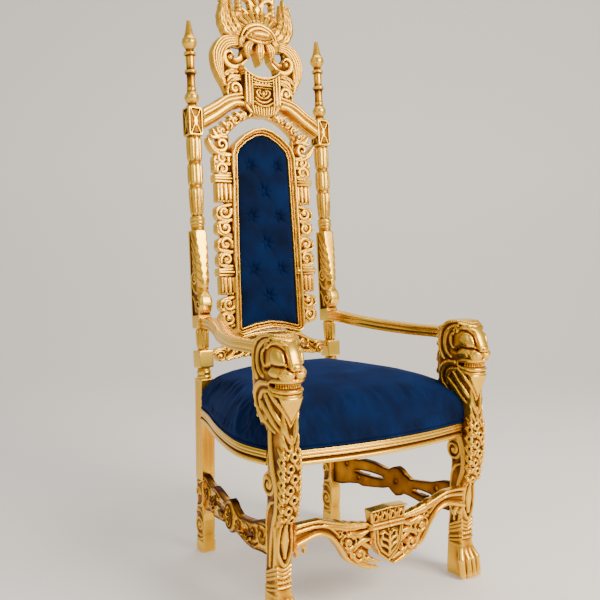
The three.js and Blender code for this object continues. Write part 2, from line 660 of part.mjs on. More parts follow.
function frontStretcher() {
  const { front, back } = STRETCHER;
  const half = [
    // The arched arm from the leg to the shield, and the scrolling leaves that fill under it.
    board(bandOutline([[292, 230], [258, 240], [216, 244], [176, 232], [146, 202]], [68, 56, 42, 34, 28], 8), front, back),
    board(bandOutline([[186, 246], [146, 242], [110, 226], [60, 220]], [18, 28, 26, 26], 4), front + 2, back),
    board(bandOutline([[156, 210], [138, 170], [100, 132], [44, 110]], [26, 32, 30, 20], 5), front, back),
    board(bandOutline([[118, 222], [92, 186], [96, 140]], [16, 16, 16], 4), front + 3, back),
    board(circleOutline(118, 182, 16, 8), front - 6, back),
    board(circleOutline(86, 134, 14, 8), front - 6, back),
    board(leafOutline(138, 196, 62, 62, 28), front - 5, front + 4),
    board(leafOutline(52, 176, 52, 66, 28), front - 5, front + 4),
    board(bandOutline([[92, 196], [40, 186]], [18, 22], 1), front + 2, back),
    board(bandOutline([[96, 150], [34, 150]], [18, 22], 1), front + 2, back),
  ];
  const side = union(half);
  const shieldMarks = (inset) => {
    const right = [[0, 118 + inset * 1.6], [30 - inset * 0.6, 142 + inset], [46 - inset, 172], [50 - inset, 218 - inset * 0.5]];
    return [...right, ...mirrorOutline(right.slice(1))];
  };
  const shield = [
    board(shieldMarks(0), front - 10, back + 4),
    board(shieldMarks(12), front - 16, front - 8),
    board([[-52, 212], [52, 212], [60, 258], [-60, 258]], front - 14, back + 8),
  ];
  const [rightLeg, leftLeg] = uprights(GAP);
  return largest(cut(union([side, mirrored(side), ...shield]), rightLeg, leftLeg));
}

// A side stretcher from the back post to the front leg: [y, top, bottom]. It bows outward between them.
const SIDE_STATIONS = [
  [246, 242, 140], [200, 242, 140], [165, 236, 150], [128, 236, 156], [110, 242, 152], [70, 241, 158],
  [25, 234, 166], [0, 234, 174], [-14, 243, 164], [-31, 249, 155], [-48, 244, 160], [-64, 232, 170], [-90, 222, 168],
  [-130, 227, 162], [-170, 234, 160], [-215, 250, 167], [-262, 258, 171],
];
const SIDE_SLOTS = [[82, 198, 62, 8], [-31, 202, 7, 13], [-142, 192, 44, 8]]; // middle y and z, half-length, half-height
const SIDE_BOW = 20;
const SIDE_THICK = 24;

function stretcherLineX(y) {
  const t = (POST_FOOT_Y - y) / (POST_FOOT_Y + 300);
  return THREE.MathUtils.lerp(POST_X, LEG_X, t) + SIDE_BOW * 4 * t * (1 - t);
}

function sideStretcher() {
  const half = SIDE_THICK / 2;
  const rings = SIDE_STATIONS.map(([y, top, bottom]) => {
    const x = stretcherLineX(y);
    const corners = [[-half, bottom], [half, bottom], [half, top], [-half, top]];
    return corners.map(([s, z]) => new THREE.Vector3(x + s, y, z));
  });
  const slots = SIDE_SLOTS.map(([y, z, long, tall]) => {
    const ring = circleOutline(0, 0, 1, 6).map(([a, b]) => [y + a * long, z + b * tall]);
    return sideBoard(ring, 200, 400);
  });
  const face = (y) => stretcherLineX(y) + half;
  const raised = [sideBoard(circleOutline(-31, 202, 34, 10), face(-31) - 12, face(-31) + 7)];
  for (const [y, z] of [[-205, 208], [-100, 196], [20, 202], [160, 196]]) {
    raised.push(blob([face(y), y, z], [7, 22, 19], 0, 6));
  }
  return largest(cut(union([loft(rings), ...raised]), ...slots, ...uprights(GAP)));
}

// ---- the throne ----

const throne = new THREE.Group();
const GOLD = new THREE.Color(0.78, 0.56, 0.17);
const VELVET = new THREE.Color(0.012, 0.04, 0.16);

function addNode(name, solid, { x = 0, velvet = false } = {}) {
  const material = new THREE.MeshStandardMaterial({
    color: velvet ? VELVET : GOLD,
    roughness: velvet ? 0.85 : 0.38,
    metalness: velvet ? 0 : 0.85,
  });
  const mesh = new THREE.Mesh(geometryOf(solid), material);
  mesh.name = name;
  mesh.position.x = x;
  throne.add(mesh);
}

const leg = largest(frontLeg().subtract(armBar(GAP).translate([-LEG_X, 0, 0])));
const notched = largest(backPost().subtract(armBar(GAP).translate([-POST_X, 0, 0])));
addNode("back_post_left", mirrored(notched), { x: -POST_X });
addNode("back_post_right", notched, { x: POST_X });
addNode("front_leg_left", mirrored(leg), { x: -LEG_X });
addNode("front_leg_right", leg, { x: LEG_X });
addNode("arm_left", mirrored(armBar()));
addNode("arm_right", armBar());
addNode("crest", rakedBack(crest()));
addNode("back_frame", rakedBack(backFrame()));
addNode("back_pad", rakedBack(backPad()), { velvet: true });
addNode("lower_rail", rakedBack(lowerRail()));
const rails = seatRails();
for (const [side, rail] of Object.entries(rails)) addNode(`seat_rail_${side}`, rail);
addNode("seat_cushion", seatCushion(), { velvet: true });
addNode("stretcher_front", frontStretcher());
const stretcher = sideStretcher();
addNode("stretcher_right", stretcher);
addNode("stretcher_left", mirrored(stretcher));

export default throne;
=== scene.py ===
import math
import bpy
import numpy as np
from mathutils import Matrix, Vector


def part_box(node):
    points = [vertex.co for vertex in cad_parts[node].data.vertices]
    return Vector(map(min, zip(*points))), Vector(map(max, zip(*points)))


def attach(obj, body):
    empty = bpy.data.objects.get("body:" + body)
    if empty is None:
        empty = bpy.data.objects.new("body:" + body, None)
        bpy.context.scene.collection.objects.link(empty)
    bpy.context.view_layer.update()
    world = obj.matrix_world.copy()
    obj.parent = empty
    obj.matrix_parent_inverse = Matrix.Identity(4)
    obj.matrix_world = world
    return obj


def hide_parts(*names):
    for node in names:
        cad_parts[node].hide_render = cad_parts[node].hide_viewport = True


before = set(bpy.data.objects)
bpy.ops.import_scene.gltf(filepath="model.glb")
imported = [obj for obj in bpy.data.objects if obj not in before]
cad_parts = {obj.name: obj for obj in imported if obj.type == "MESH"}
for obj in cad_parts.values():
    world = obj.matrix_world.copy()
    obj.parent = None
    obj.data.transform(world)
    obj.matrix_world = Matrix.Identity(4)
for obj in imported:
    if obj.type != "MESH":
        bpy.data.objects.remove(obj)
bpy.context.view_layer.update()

# ---- camera, floor and lights ----

view = {
    "place": (-1.286, -1.895, 0.950),
    "azimuth": 32.67,  # degrees from straight ahead towards +X
    "pitch": 3.59,  # degrees below level
    "roll": -0.15,
    "lens": 47.3,
    "shift": (0.0068, -0.0168),
}


def addCamera():
    data = bpy.data.cameras.new("camera")
    data.lens = view["lens"]
    data.sensor_width = 36
    data.shift_x, data.shift_y = view["shift"]
    camera = bpy.data.objects.new("camera", data)
    camera.location = view["place"]
    turn, dip = math.radians(view["azimuth"]), math.radians(view["pitch"])
    ahead = Vector((math.sin(turn) * math.cos(dip), math.cos(turn) * math.cos(dip), -math.sin(dip)))
    roll = Matrix.Rotation(math.radians(view["roll"]), 4, ahead)
    camera.rotation_euler = (roll @ ahead.to_track_quat("-Z", "Y").to_matrix().to_4x4()).to_euler()
    bpy.context.collection.objects.link(camera)
    bpy.context.scene.camera = camera


def toLinear(code):
    channels = [int(code[i:i + 2], 16) / 255 for i in (1, 3, 5)]
    return tuple(c / 12.92 if c <= 0.04045 else ((c + 0.055) / 1.055) ** 2.4 for c in channels) + (1.0,)


def addNode(tree, kind, links=None, **settings):
    node = tree.nodes.new(kind)
    for name, value in settings.items():
        if hasattr(node, name):
            setattr(node, name, value)
    for socket, value in (links or {}).items():
        target = node.inputs[socket]
        if isinstance(value, bpy.types.NodeSocket):
            tree.links.new(value, target)
        else:
            target.default_value = value
    return node


stage = {"floor": "#f8f4ee", "glow": 0.16, "lightKey": 235, "lightFill": 14, "world": 0.52, "worldColour": "#f3efe9"}


def addStage():
    # a floor that curves up into a backdrop, well behind the throne
    wide, deep, radius, tall = 9.0, 3.2, 1.6, 5.0
    line = [(-7.0, 0.0), (deep, 0.0)]
    line += [(deep + radius * math.sin(a), radius - radius * math.cos(a)) for a in np.linspace(0.08, math.pi / 2, 16)]
    line.append((deep + radius, tall))
    verts = [(side * wide, y, z) for y, z in line for side in (-1, 1)]
    faces = [(2 * i, 2 * i + 1, 2 * i + 3, 2 * i + 2) for i in range(len(line) - 1)]
    mesh = bpy.data.meshes.new("backdrop")
    mesh.from_pydata(verts, [], faces)
    mesh.shade_smooth()
    backdrop = bpy.data.objects.new("backdrop", mesh)
    backdrop.rotation_euler.z = -math.radians(view["azimuth"])
    bpy.context.collection.objects.link(backdrop)
    material = bpy.data.materials.new("paper backdrop")
    material.use_nodes = True
    shader = material.node_tree.nodes["Principled BSDF"]
    shader.inputs["Base Color"].default_value = toLinear(stage["floor"])
    shader.inputs["Roughness"].default_value = 0.75
    shader.inputs["Emission Color"].default_value = toLinear(stage["floor"])
    shader.inputs["Emission Strength"].default_value = stage["glow"]
    mesh.materials.append(material)


def addLight(name, place, target, size, power, colour):
    data = bpy.data.lights.new(name, "AREA")
    data.shape = "RECTANGLE"
    data.size, data.size_y = size
    data.energy = power
    data.color = toLinear(colour)[:3]
    light = bpy.data.objects.new(name, data)
    light.location = place
    light.rotation_euler = (Vector(target) - Vector(place)).to_track_quat("-Z", "Y").to_euler()
    bpy.context.collection.objects.link(light)


def addLights():
    world = bpy.data.worlds.new("studio")
    world.use_nodes = True
    world.node_tree.nodes["Background"].inputs["Color"].default_value = toLinear(stage["worldColour"])
    world.node_tree.nodes["Background"].inputs["Strength"].default_value = stage["world"]
    bpy.context.scene.world = world
    addLight("keySoftbox", (1.3, -3.4, 2.6), (0.0, 0.0, 0.8), (2.2, 2.2), stage["lightKey"], "#fff4e6")
    addLight("fillSoftbox", (-3.2, -1.4, 2.4), (0.0, 0.0, 0.8), (1.6, 2.4), stage["lightFill"], "#ffffff")
    addLight("overheadSoftbox", (0.6, 0.4, 3.6), (0.1, 0.1, 0.8), (2.0, 2.0), 42, "#ffffff")


addCamera()
addStage()
addLights()
print("camera, backdrop and lights are up")

# ---- materials ----


def gildedWood():
    # carved wood under gold leaf, burnished on the raised parts (lower roughness there); its colour has painted light
    # on the raised parts and painted shade in the hollows, the hollows' umber partly the gilding's own antiquing
    material = bpy.data.materials.new("burnished gold leaf on carved wood")
    material.use_nodes = True
    tree = material.node_tree
    shader = tree.nodes["Principled BSDF"]
    recess = addNode(tree, "ShaderNodeAttribute", attribute_name="recess").outputs["Fac"]
    place = addNode(tree, "ShaderNodeTexCoord").outputs["Object"]
    # blotches about 60 mm across, where the leaf is thinner
    blotch = addNode(tree, "ShaderNodeTexNoise", {"Vector": place, "Scale": 17.0, "Detail": 3.0}).outputs["Fac"]
    # tool marks and leaf wrinkles about 3 mm across
    grain = addNode(tree, "ShaderNodeTexNoise", {"Vector": place, "Scale": 330.0, "Detail": 4.0}).outputs["Fac"]
    shift = addNode(tree, "ShaderNodeMath", {0: blotch, 1: 0.5}, operation="SUBTRACT").outputs[0]
    depth = addNode(tree, "ShaderNodeMath", {0: shift, 1: 0.16, 2: recess}, operation="MULTIPLY_ADD").outputs[0]
    # painted shade: the deeper a point lies, the darker the umber this ramp gives it; raised points get painted light
    # in bright yellow gold
    ramp = addNode(tree, "ShaderNodeValToRGB", {"Fac": depth})
    shadedGoldStops = [(0.0, "#ffd04c"), (0.40, "#f2b62c"), (0.54, "#da981c"), (0.72, "#9c6212"), (0.92, "#4c2a06")]
    band = ramp.color_ramp
    while len(band.elements) < len(shadedGoldStops):
        band.elements.new(0.5)
    for element, (at, code) in zip(band.elements, shadedGoldStops):
        element.position = at
        element.color = toLinear(code)
    tree.links.new(ramp.outputs["Color"], shader.inputs["Base Color"])
    rough = addNode(tree, "ShaderNodeMapRange", {"Value": depth, "From Min": 0.3, "From Max": 0.85, "To Min": 0.26, "To Max": 0.58})
    tree.links.new(rough.outputs["Result"], shader.inputs["Roughness"])
    shader.inputs["Metallic"].default_value = 0.92
    bump = addNode(tree, "ShaderNodeBump", {"Height": grain, "Strength": 0.10, "Distance": 0.001})
    tree.links.new(bump.outputs["Normal"], shader.inputs["Normal"])
    return material


def cottonVelvet():
    # cut-pile velvet dyed navy: almost black face on, with a soft blue sheen where the pile leans away
    material = bpy.data.materials.new("navy cut-pile velvet")
    material.use_nodes = True
    tree = material.node_tree
    shader = tree.nodes["Principled BSDF"]
    place = addNode(tree, "ShaderNodeTexCoord").outputs["Object"]
    # the pile is brushed this way and that in patches about 80 mm across
    brushed = addNode(tree, "ShaderNodeTexNoise", {"Vector": place, "Scale": 12.0, "Detail": 3.0}).outputs["Fac"]
    # tufts of pile are 0.3 mm across; drawn at 1.2 mm so that they show
    pile = addNode(tree, "ShaderNodeTexNoise", {"Vector": place, "Scale": 830.0, "Detail": 2.0}).outputs["Fac"]
    mixed = addNode(tree, "ShaderNodeMath", {0: pile, 1: 0.35, 2: brushed}, operation="MULTIPLY_ADD").outputs[0]
    ramp = addNode(tree, "ShaderNodeValToRGB", {"Fac": mixed})
    ramp.color_ramp.elements[0].position = 0.42
    ramp.color_ramp.elements[0].color = toLinear("#020a20")
    ramp.color_ramp.elements[1].position = 0.95
    ramp.color_ramp.elements[1].color = toLinear("#05204c")
    tree.links.new(ramp.outputs["Color"], shader.inputs["Base Color"])
    shader.inputs["Roughness"].default_value = 0.8
    shader.inputs["Specular IOR Level"].default_value = 0.08
    shader.inputs["Sheen Weight"].default_value = 0.32
    shader.inputs["Sheen Roughness"].default_value = 0.45
    shader.inputs["Sheen Tint"].default_value = toLinear("#1c55b8")
    bump = addNode(tree, "ShaderNodeBump", {"Height": pile, "Strength": 0.35, "Distance": 0.0006})
    tree.links.new(bump.outputs["Normal"], shader.inputs["Normal"])
    return material


gold = gildedWood()
velvet = cottonVelvet()

# ---- solids from fields: negative inside, millimetres ----


def softMax(a, b, k):
    return 0.5 * (a + b + np.sqrt((a - b) ** 2 + k * k))


def softMin(a, b, k):
    return 0.5 * (a + b - np.sqrt((a - b) ** 2 + k * k))


def splinePoints(marks, count):
    p = np.array(marks, float)
    p = np.vstack([2 * p[0] - p[1], p, 2 * p[-1] - p[-2]])
    at = np.linspace(0, len(marks) - 1, count)
    k = np.minimum(at.astype(int), len(marks) - 2)
    u = (at - k)[:, None]
    a, b, c, d = p[k], p[k + 1], p[k + 2], p[k + 3]
    return 0.5 * (2 * b + (c - a) * u + (2 * a - 5 * b + 4 * c - d) * u ** 2 + (3 * b - a - 3 * c + d) * u ** 3)


def surfaceNet(field, origin, step):
    # one vertex in each cell that the surface crosses, one quad round each edge that it crosses
    inside = field < 0
    nx, ny, nz = field.shape
    corners = [(i, j, k) for i in (0, 1) for j in (0, 1) for k in (0, 1)]

    def part(array, i, j, k):
        return array[i:nx - 1 + i, j:ny - 1 + j, k:nz - 1 + k]

    total = sum(part(inside, *c).astype(np.int8) for c in corners)
    cells = np.argwhere((total > 0) & (total < 8))
    index = np.full(total.shape, -1, np.int64)
    index[tuple(cells.T)] = np.arange(len(cells))
    values = {c: field[cells[:, 0] + c[0], cells[:, 1] + c[1], cells[:, 2] + c[2]] for c in corners}
    place = np.zeros((len(cells), 3))
    found = np.zeros(len(cells))
    for a in corners:
        for axis in range(3):
            if a[axis]:
                continue
            b = list(a)
            b[axis] = 1
            fa, fb = values[a], values[tuple(b)]
            crossed = (fa < 0) != (fb < 0)
            t = np.where(crossed, fa / np.where(crossed, fa - fb, 1), 0)
            point = np.array(a, float)[None, :].repeat(len(cells), 0)
            point[:, axis] += t
            place += point * crossed[:, None]
            found += crossed
    verts = (cells + place / found[:, None]) * step + np.array(origin)
    quads = []
    for axis in range(3):
        u, v = (axis + 1) % 3, (axis + 2) % 3
        low = [slice(None)] * 3
        high = [slice(None)] * 3
        low[axis], high[axis] = slice(0, -1), slice(1, None)
        low[u] = high[u] = slice(1, -1)
        low[v] = high[v] = slice(1, -1)
        first, second = inside[tuple(low)], inside[tuple(high)]
        at = np.argwhere(first != second)
        outward = first[tuple(at.T)]
        at[:, u] += 1
        at[:, v] += 1
        ring = []
        for du, dv in ((-1, -1), (0, -1), (0, 0), (-1, 0)):
            cell = at.copy()
            cell[:, u] += du
            cell[:, v] += dv
            ring.append(index[tuple(cell.T)])
        ring = np.stack(ring, 1)
        quads.append(np.where(outward[:, None], ring, ring[:, ::-1]))
    return verts, np.concatenate(quads)


# ---- carving on boards: a height towards the viewer and the distance to the outline ----


def newBoard(low, high, step):
    us = np.arange(low[0] + step / 2, high[0], step)
    ws = np.arange(low[1], high[1], step)
    u, w = np.meshgrid(us, ws, indexing="ij")
    return {"u": u, "w": w, "us": us, "ws": ws, "step": step, "rise": np.full(u.shape, -60.0), "edge": np.full(u.shape, 60.0)}


def windowOf(board, points, reach):
    lo, hi = points.min(0) - reach, points.max(0) + reach
    i0, i1 = np.searchsorted(board["us"], (lo[0], hi[0]))
    j0, j1 = np.searchsorted(board["ws"], (lo[1], hi[1]))
    return slice(i0, i1), slice(j0, j1)


def nearestOn(path, u, w):
    a, d = path[:-1], np.diff(path, axis=0)
    ru, rw = u.ravel()[:, None] - a[:, 0], w.ravel()[:, None] - a[:, 1]
    t = np.clip((ru * d[:, 0] + rw * d[:, 1]) / np.sum(d * d, 1), 0, 1)
    gap = (ru - t * d[:, 0]) ** 2 + (rw - t * d[:, 1]) ** 2
    k = gap.argmin(1)
    rows = np.arange(len(k))
    side = np.sign(d[k, 0] * rw[rows, k] - d[k, 1] * ru[rows, k])
    shape = u.shape
    return np.sqrt(gap[rows, k]).reshape(shape), side.reshape(shape), ((k + t[rows, k]) / len(a)).reshape(shape)


def along(values, t):
    values = np.atleast_1d(np.array(values, float))
    return np.interp(t, np.linspace(0, 1, len(values)), values)


def carveBand(board, marks, widths, top, drop=4.0, reeds=0, reedDepth=2.0, rib=0.0, ruffles=0, ruffle=0.0, vein=0.0, hollow=0.0, cut=True, slope=2.2):
    path = splinePoints(marks, 10 * len(marks))
    reach = max(np.atleast_1d(widths)) / 2 * (1 + ruffle) + 14
    window = windowOf(board, path, reach)
    u, w = board["u"][window], board["w"][window]
    if not u.size:
        return
    away, side, t = nearestOn(path, u, w)
    half = along(widths, t) / 2 * (1 + ruffle * np.cos(2 * math.pi * ruffles * t))
    s = np.clip(away / half, 0, 1)
    height = along(top, t) - drop * (1 - np.sqrt(1 - s * s)) - slope * np.maximum(away - half, 0)
    if reeds:
        part = ((s * side + 1) / 2 * reeds) % 1.0 * 2 - 1
        height -= reedDepth * (1 - np.sqrt(np.maximum(1 - part * part, 0)))
    if rib:
        height -= rib * np.exp(-(s / 0.16) ** 2)
    if hollow:
        height -= hollow * np.maximum(1 - (s / 0.72) ** 2, 0)
    if vein:
        height -= vein * (0.5 + 0.5 * np.cos(2 * math.pi * (ruffles * t - 0.9 * s))) * s
    board["rise"][window] = np.maximum(board["rise"][window], height)
    if cut:
        board["edge"][window] = np.minimum(board["edge"][window], away - half)


def volutePath(eye, outer, inner, turns, start):
    # a spiral from its outer end, at the angle start, in to its eye; negative turns go the other way round
    t = np.linspace(0, 1, 9 + int(abs(turns) * 8))
    radius = outer + (inner - outer) * t ** 0.85
    a = math.radians(start) + 2 * math.pi * turns * t
    return np.stack([eye[0] + radius * np.cos(a), eye[1] + radius * np.sin(a)], 1)


def carveVolute(board, eye, outer, turns, start, width, top, **more):
    marks = volutePath(eye, outer - width / 2, width * 0.35, turns, start)
    carveBand(board, marks, [width, width * 0.8, width * 0.5], top, **more)
    carveBoss(board, eye, width * 0.55, np.max(top) + 1, 3.0)


def carveBoss(board, middle, radius, top, drop, cut=True):
    r = np.atleast_1d(radius) * np.ones(2)
    window = windowOf(board, np.array([middle]), r.max() + 12)
    u, w = board["u"][window] - middle[0], board["w"][window] - middle[1]
    s = np.hypot(u / r[0], w / r[1])
    away = (s - 1) * r.min()
    inside = np.clip(s, 0, 1)
    height = top - drop * (1 - np.sqrt(1 - inside ** 2)) - 2.2 * np.maximum(away, 0)
    board["rise"][window] = np.maximum(board["rise"][window], height)
    if cut:
        board["edge"][window] = np.minimum(board["edge"][window], away)


def carveBeads(board, marks, count, radius, top, cut=True):
    for p in splinePoints(marks, count):
        carveBoss(board, p, radius, top, radius, cut)


def outlineGap(points, u, w):
    p = np.array(points, float)
    q = np.roll(p, -1, 0)
    best = np.full(u.shape, 1e9)
    inside = np.zeros(u.shape, bool)
    for (ax, ay), (bx, by) in zip(p, q):
        dx, dy = bx - ax, by - ay
        t = np.clip(((u - ax) * dx + (w - ay) * dy) / max(dx * dx + dy * dy, 1e-9), 0, 1)
        best = np.minimum(best, (u - ax - t * dx) ** 2 + (w - ay - t * dy) ** 2)
        inside ^= ((ay > w) != (by > w)) & (u < (bx - ax) * (w - ay) / (by - ay if by != ay else 1e-9) + ax)
    return np.where(inside, -1, 1) * np.sqrt(best)


def carvePlate(board, points, top, bevel=0.0, cut=True):
    window = windowOf(board, np.array(points, float), 10)
    gap = outlineGap(points, board["u"][window], board["w"][window])
    height = top - 2.2 * np.maximum(gap, 0) - bevel * np.clip(1 + gap / max(bevel, 1e-6), 0, 1)
    board["rise"][window] = np.maximum(board["rise"][window], height)
    if cut:
        board["edge"][window] = np.minimum(board["edge"][window], gap)


def pierce(board, points, ease=0.0):
    window = windowOf(board, np.array(points, float), 6)
    gap = outlineGap(points, board["u"][window], board["w"][window])
    board["edge"][window] = np.maximum(board["edge"][window], -gap + ease)


def sink(board, points, floor, slope=1.5):
    # presses a hollow down to a floor level
    window = windowOf(board, np.array(points, float), 12)
    gap = outlineGap(points, board["u"][window], board["w"][window])
    limit = floor + slope * np.maximum(gap + 1, 0)
    board["rise"][window] = np.minimum(board["rise"][window], limit)


def boardMesh(board, back, front, mirror=True, ease=1.5, backRise=None):
    # turns a board into a closed skin: u across, y from front (negative) to back, w up
    step = board["step"]
    rise, edge = board["rise"], board["edge"]
    ws = board["ws"]
    u0 = board["us"][0]
    if mirror:
        rise = np.concatenate([rise[::-1], rise], 0)
        edge = np.concatenate([edge[::-1], edge], 0)
        u0 = -board["us"][-1]
    ys = np.arange(-front - 2 * step, back + 2.5 * step, step)
    y = ys[None, :, None]
    face = -y - rise[:, None, :]
    rear = y - (back if backRise is None else backRise[:, None, :])
    field = softMax(softMax(face, rear, ease), np.clip(edge, -8, 8)[:, None, :], ease).astype(np.float32)
    for axis in (0, 2):  # closed at the ends
        for end in (0, -1):
            place = [slice(None)] * 3
            place[axis] = end
            field[tuple(place)] = np.maximum(field[tuple(place)], 0.1)
    return surfaceNet(field, (u0, ys[0], ws[0]), step)


# ---- meshes ----

rake = {"angle": math.radians(5.2), "y": 257.0, "z": 520.0}  # the back leans from the seat up


def leanBack(verts):
    # from (x, depth, height before leaning) to the throne's place
    up = (verts[:, 2] - rake["z"]) / math.cos(rake["angle"])
    c, s = math.cos(rake["angle"]), math.sin(rake["angle"])
    return np.stack([verts[:, 0], rake["y"] + verts[:, 1] * c + up * s, rake["z"] - verts[:, 1] * s + up * c], 1)


def triangulated(quads):
    return np.concatenate([quads[:, [0, 1, 2]], quads[:, [0, 2, 3]]])


def recessOf(verts, edges, normals):
    # how far each point lies below its surroundings, from fine to broad
    count = np.bincount(edges.ravel(), minlength=len(verts))[:, None]
    a, b = edges[:, 0], edges[:, 1]
    smooth = verts.copy()
    result = np.zeros(len(verts))
    for turn in range(1, 25):
        total = np.stack([np.bincount(a, smooth[b, k], len(verts)) + np.bincount(b, smooth[a, k], len(verts)) for k in range(3)], 1)
        smooth = total / np.maximum(count, 1)
        if turn in (3, 9, 24):
            result += np.sum((smooth - verts) * normals, 1)
    return np.clip(0.5 + result * 0.10, 0, 1)


def makeMesh(name, verts, faces, limit=None, smooth=True):
    # verts in millimetres; limit is the most triangles that the mesh may keep
    mesh = bpy.data.meshes.new(name)
    faces = np.asarray(faces)
    mesh.from_pydata([], [], [])
    mesh.vertices.add(len(verts))
    mesh.vertices.foreach_set("co", (np.asarray(verts, np.float32) / 1000).ravel())
    size = faces.shape[1]
    mesh.loops.add(faces.size)
    mesh.loops.foreach_set("vertex_index", faces.ravel().astype(np.int32))
    mesh.polygons.add(len(faces))
    mesh.polygons.foreach_set("loop_start", np.arange(0, faces.size, size, dtype=np.int32))
    mesh.update(calc_edges=True)
    mesh.validate()
    triangles = len(faces) * (size - 2)
    if limit and triangles > limit:
        holder = bpy.data.objects.new("holder", mesh)
        bpy.context.collection.objects.link(holder)
        thin = holder.modifiers.new("thin", "DECIMATE")
        thin.ratio = limit / triangles
        thinned = bpy.data.meshes.new_from_object(holder.evaluated_get(bpy.context.evaluated_depsgraph_get()))
        bpy.data.objects.remove(holder)
        thinned.name = name
        mesh = thinned
    if smooth:
        mesh.shade_smooth()
    return mesh


def arraysOf(mesh):
    verts = np.empty(len(mesh.vertices) * 3)
    mesh.vertices.foreach_get("co", verts)
    normals = np.empty(len(mesh.vertices) * 3)
    mesh.vertices.foreach_get("normal", normals)
    edges = np.empty(len(mesh.edges) * 2, np.int32)
    mesh.edges.foreach_get("vertices", edges)
    return verts.reshape(-1, 3) * 1000, normals.reshape(-1, 3), edges.reshape(-1, 2)


def addPiece(name, mesh, material, slot, *nodes):
    verts, normals, edges = arraysOf(mesh)
    if slot == "gilded_wood":
        # the recess sets the painted shade in the gold's hollows, the painted light on its raised parts, and its
        # roughness
        layer = mesh.attributes.new("recess", "FLOAT", "POINT")
        layer.data.foreach_set("value", recessOf(verts, edges, normals).astype(np.float32))
    mesh.materials.clear()
    mesh.materials.append(material)
    piece = bpy.data.objects.new(name, mesh)
    bpy.context.collection.objects.link(piece)
    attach(piece, "root")
    if nodes:
        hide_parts(*nodes)
    mesh.calc_loop_triangles()
    print(f"{name}: {len(mesh.loop_triangles)} triangles")
    return piece


def mirroredMesh(mesh, name):
    copy = mesh.copy()
    copy.name = name
    copy.transform(Matrix.Diagonal((-1, 1, 1, 1)))
    copy.flip_normals()
    return copy

# ---- the pierced crest ----

crest = {
    "step": 1.8,  # size of the carving's grid
    "back": 12.6,
    "rear": [(1590, 12.6), (1640, 9), (1740, 7), (1775, 0)],  # height, and how far back the board reaches there
    "triangles": 150000,
    "balusterX": 62,
    "half": 211.6,
}


def carveCrestRails(board):
    # the raking rail climbs from the post: two narrow rounds over a broad one that hooks round a hollow
    carveBand(board, [(214, 1318), (165, 1346), (118, 1377), (52, 1398)], [60, 56, 52, 44], 14, drop=3)
    carveBand(board, [(214, 1341), (165, 1369), (120, 1397), (56, 1413)], [11, 11, 11, 9], 24, drop=4.5, cut=False)
    carveBand(board, [(214, 1329), (165, 1357), (119, 1385), (60, 1400)], [12, 12, 12, 10], 26, drop=4.5, cut=False)
    sink(board, [(60, 1364), (92, 1366), (116, 1350), (104, 1332), (60, 1332)], 7, slope=3)
    carveBand(board, [(214, 1307), (165, 1336), (124, 1364), (94, 1379), (64, 1378), (46, 1364), (43, 1348), (52, 1338)], [25, 25, 25, 21, 17, 14, 11, 8], 27, drop=7.5)
    carveBoss(board, (66, 1352), 7, 19, 5)


def carveCrestScroll(board):
    wing = [(40, 1384), (118, 1396), (132, 1428), (150, 1456), (163, 1490), (165, 1532), (150, 1568), (120, 1590), (84, 1592), (40, 1584), (40, 1534), (56, 1508), (60, 1490)]
    carvePlate(board, wing, 8)
    # the reeded C
    carveBand(board, [(40, 1577), (84, 1578), (121, 1567), (144, 1532), (144, 1486), (128, 1436)], [22, 36, 44, 46, 36, 14], 20, drop=7, reeds=5, reedDepth=3.4)
    # its inner end turns under the opening into an eye
    carveBand(board, [(46, 1520), (70, 1500), (98, 1494), (120, 1508), (122, 1532), (104, 1542), (90, 1530)], [8, 14, 18, 18, 14, 10, 7], 19, drop=5, reeds=2, reedDepth=2.4)
    carveBoss(board, (103, 1523), 8, 20, 5)
    # leaf lobes down to the rosette
    carveBand(board, [(66, 1496), (84, 1482), (112, 1476), (130, 1456)], [8, 18, 20, 6], 17, drop=5, rib=2.5, ruffles=4, ruffle=0.1, vein=3)
    carveBand(board, [(62, 1474), (80, 1464), (104, 1462), (118, 1446)], [8, 15, 15, 5], 19, drop=5, rib=2)
    carveBand(board, [(64, 1448), (76, 1456), (96, 1452), (116, 1430), (120, 1406)], [6, 12, 15, 14, 6], 20, drop=5, rib=2, ruffles=3, ruffle=0.1, vein=2)
    carveBand(board, [(66, 1392), (88, 1392), (112, 1398), (122, 1414)], [8, 14, 13, 5], 20, drop=5, rib=2)
    # rosette: a spiral leaf beside the shield
    carveBand(board, volutePath((94, 1424), 20, 3, -1.35, 200), [11, 10, 8, 5], 26, drop=4, rib=1.6)
    carveBoss(board, (94, 1424), 6, 27, 5)
    for angle in (150, 100, 50, 0, -50):
        a = math.radians(angle)
        carveBoss(board, (94 + 23 * math.cos(a), 1424 + 23 * math.sin(a)), 6.5, 20, 5, cut=False)


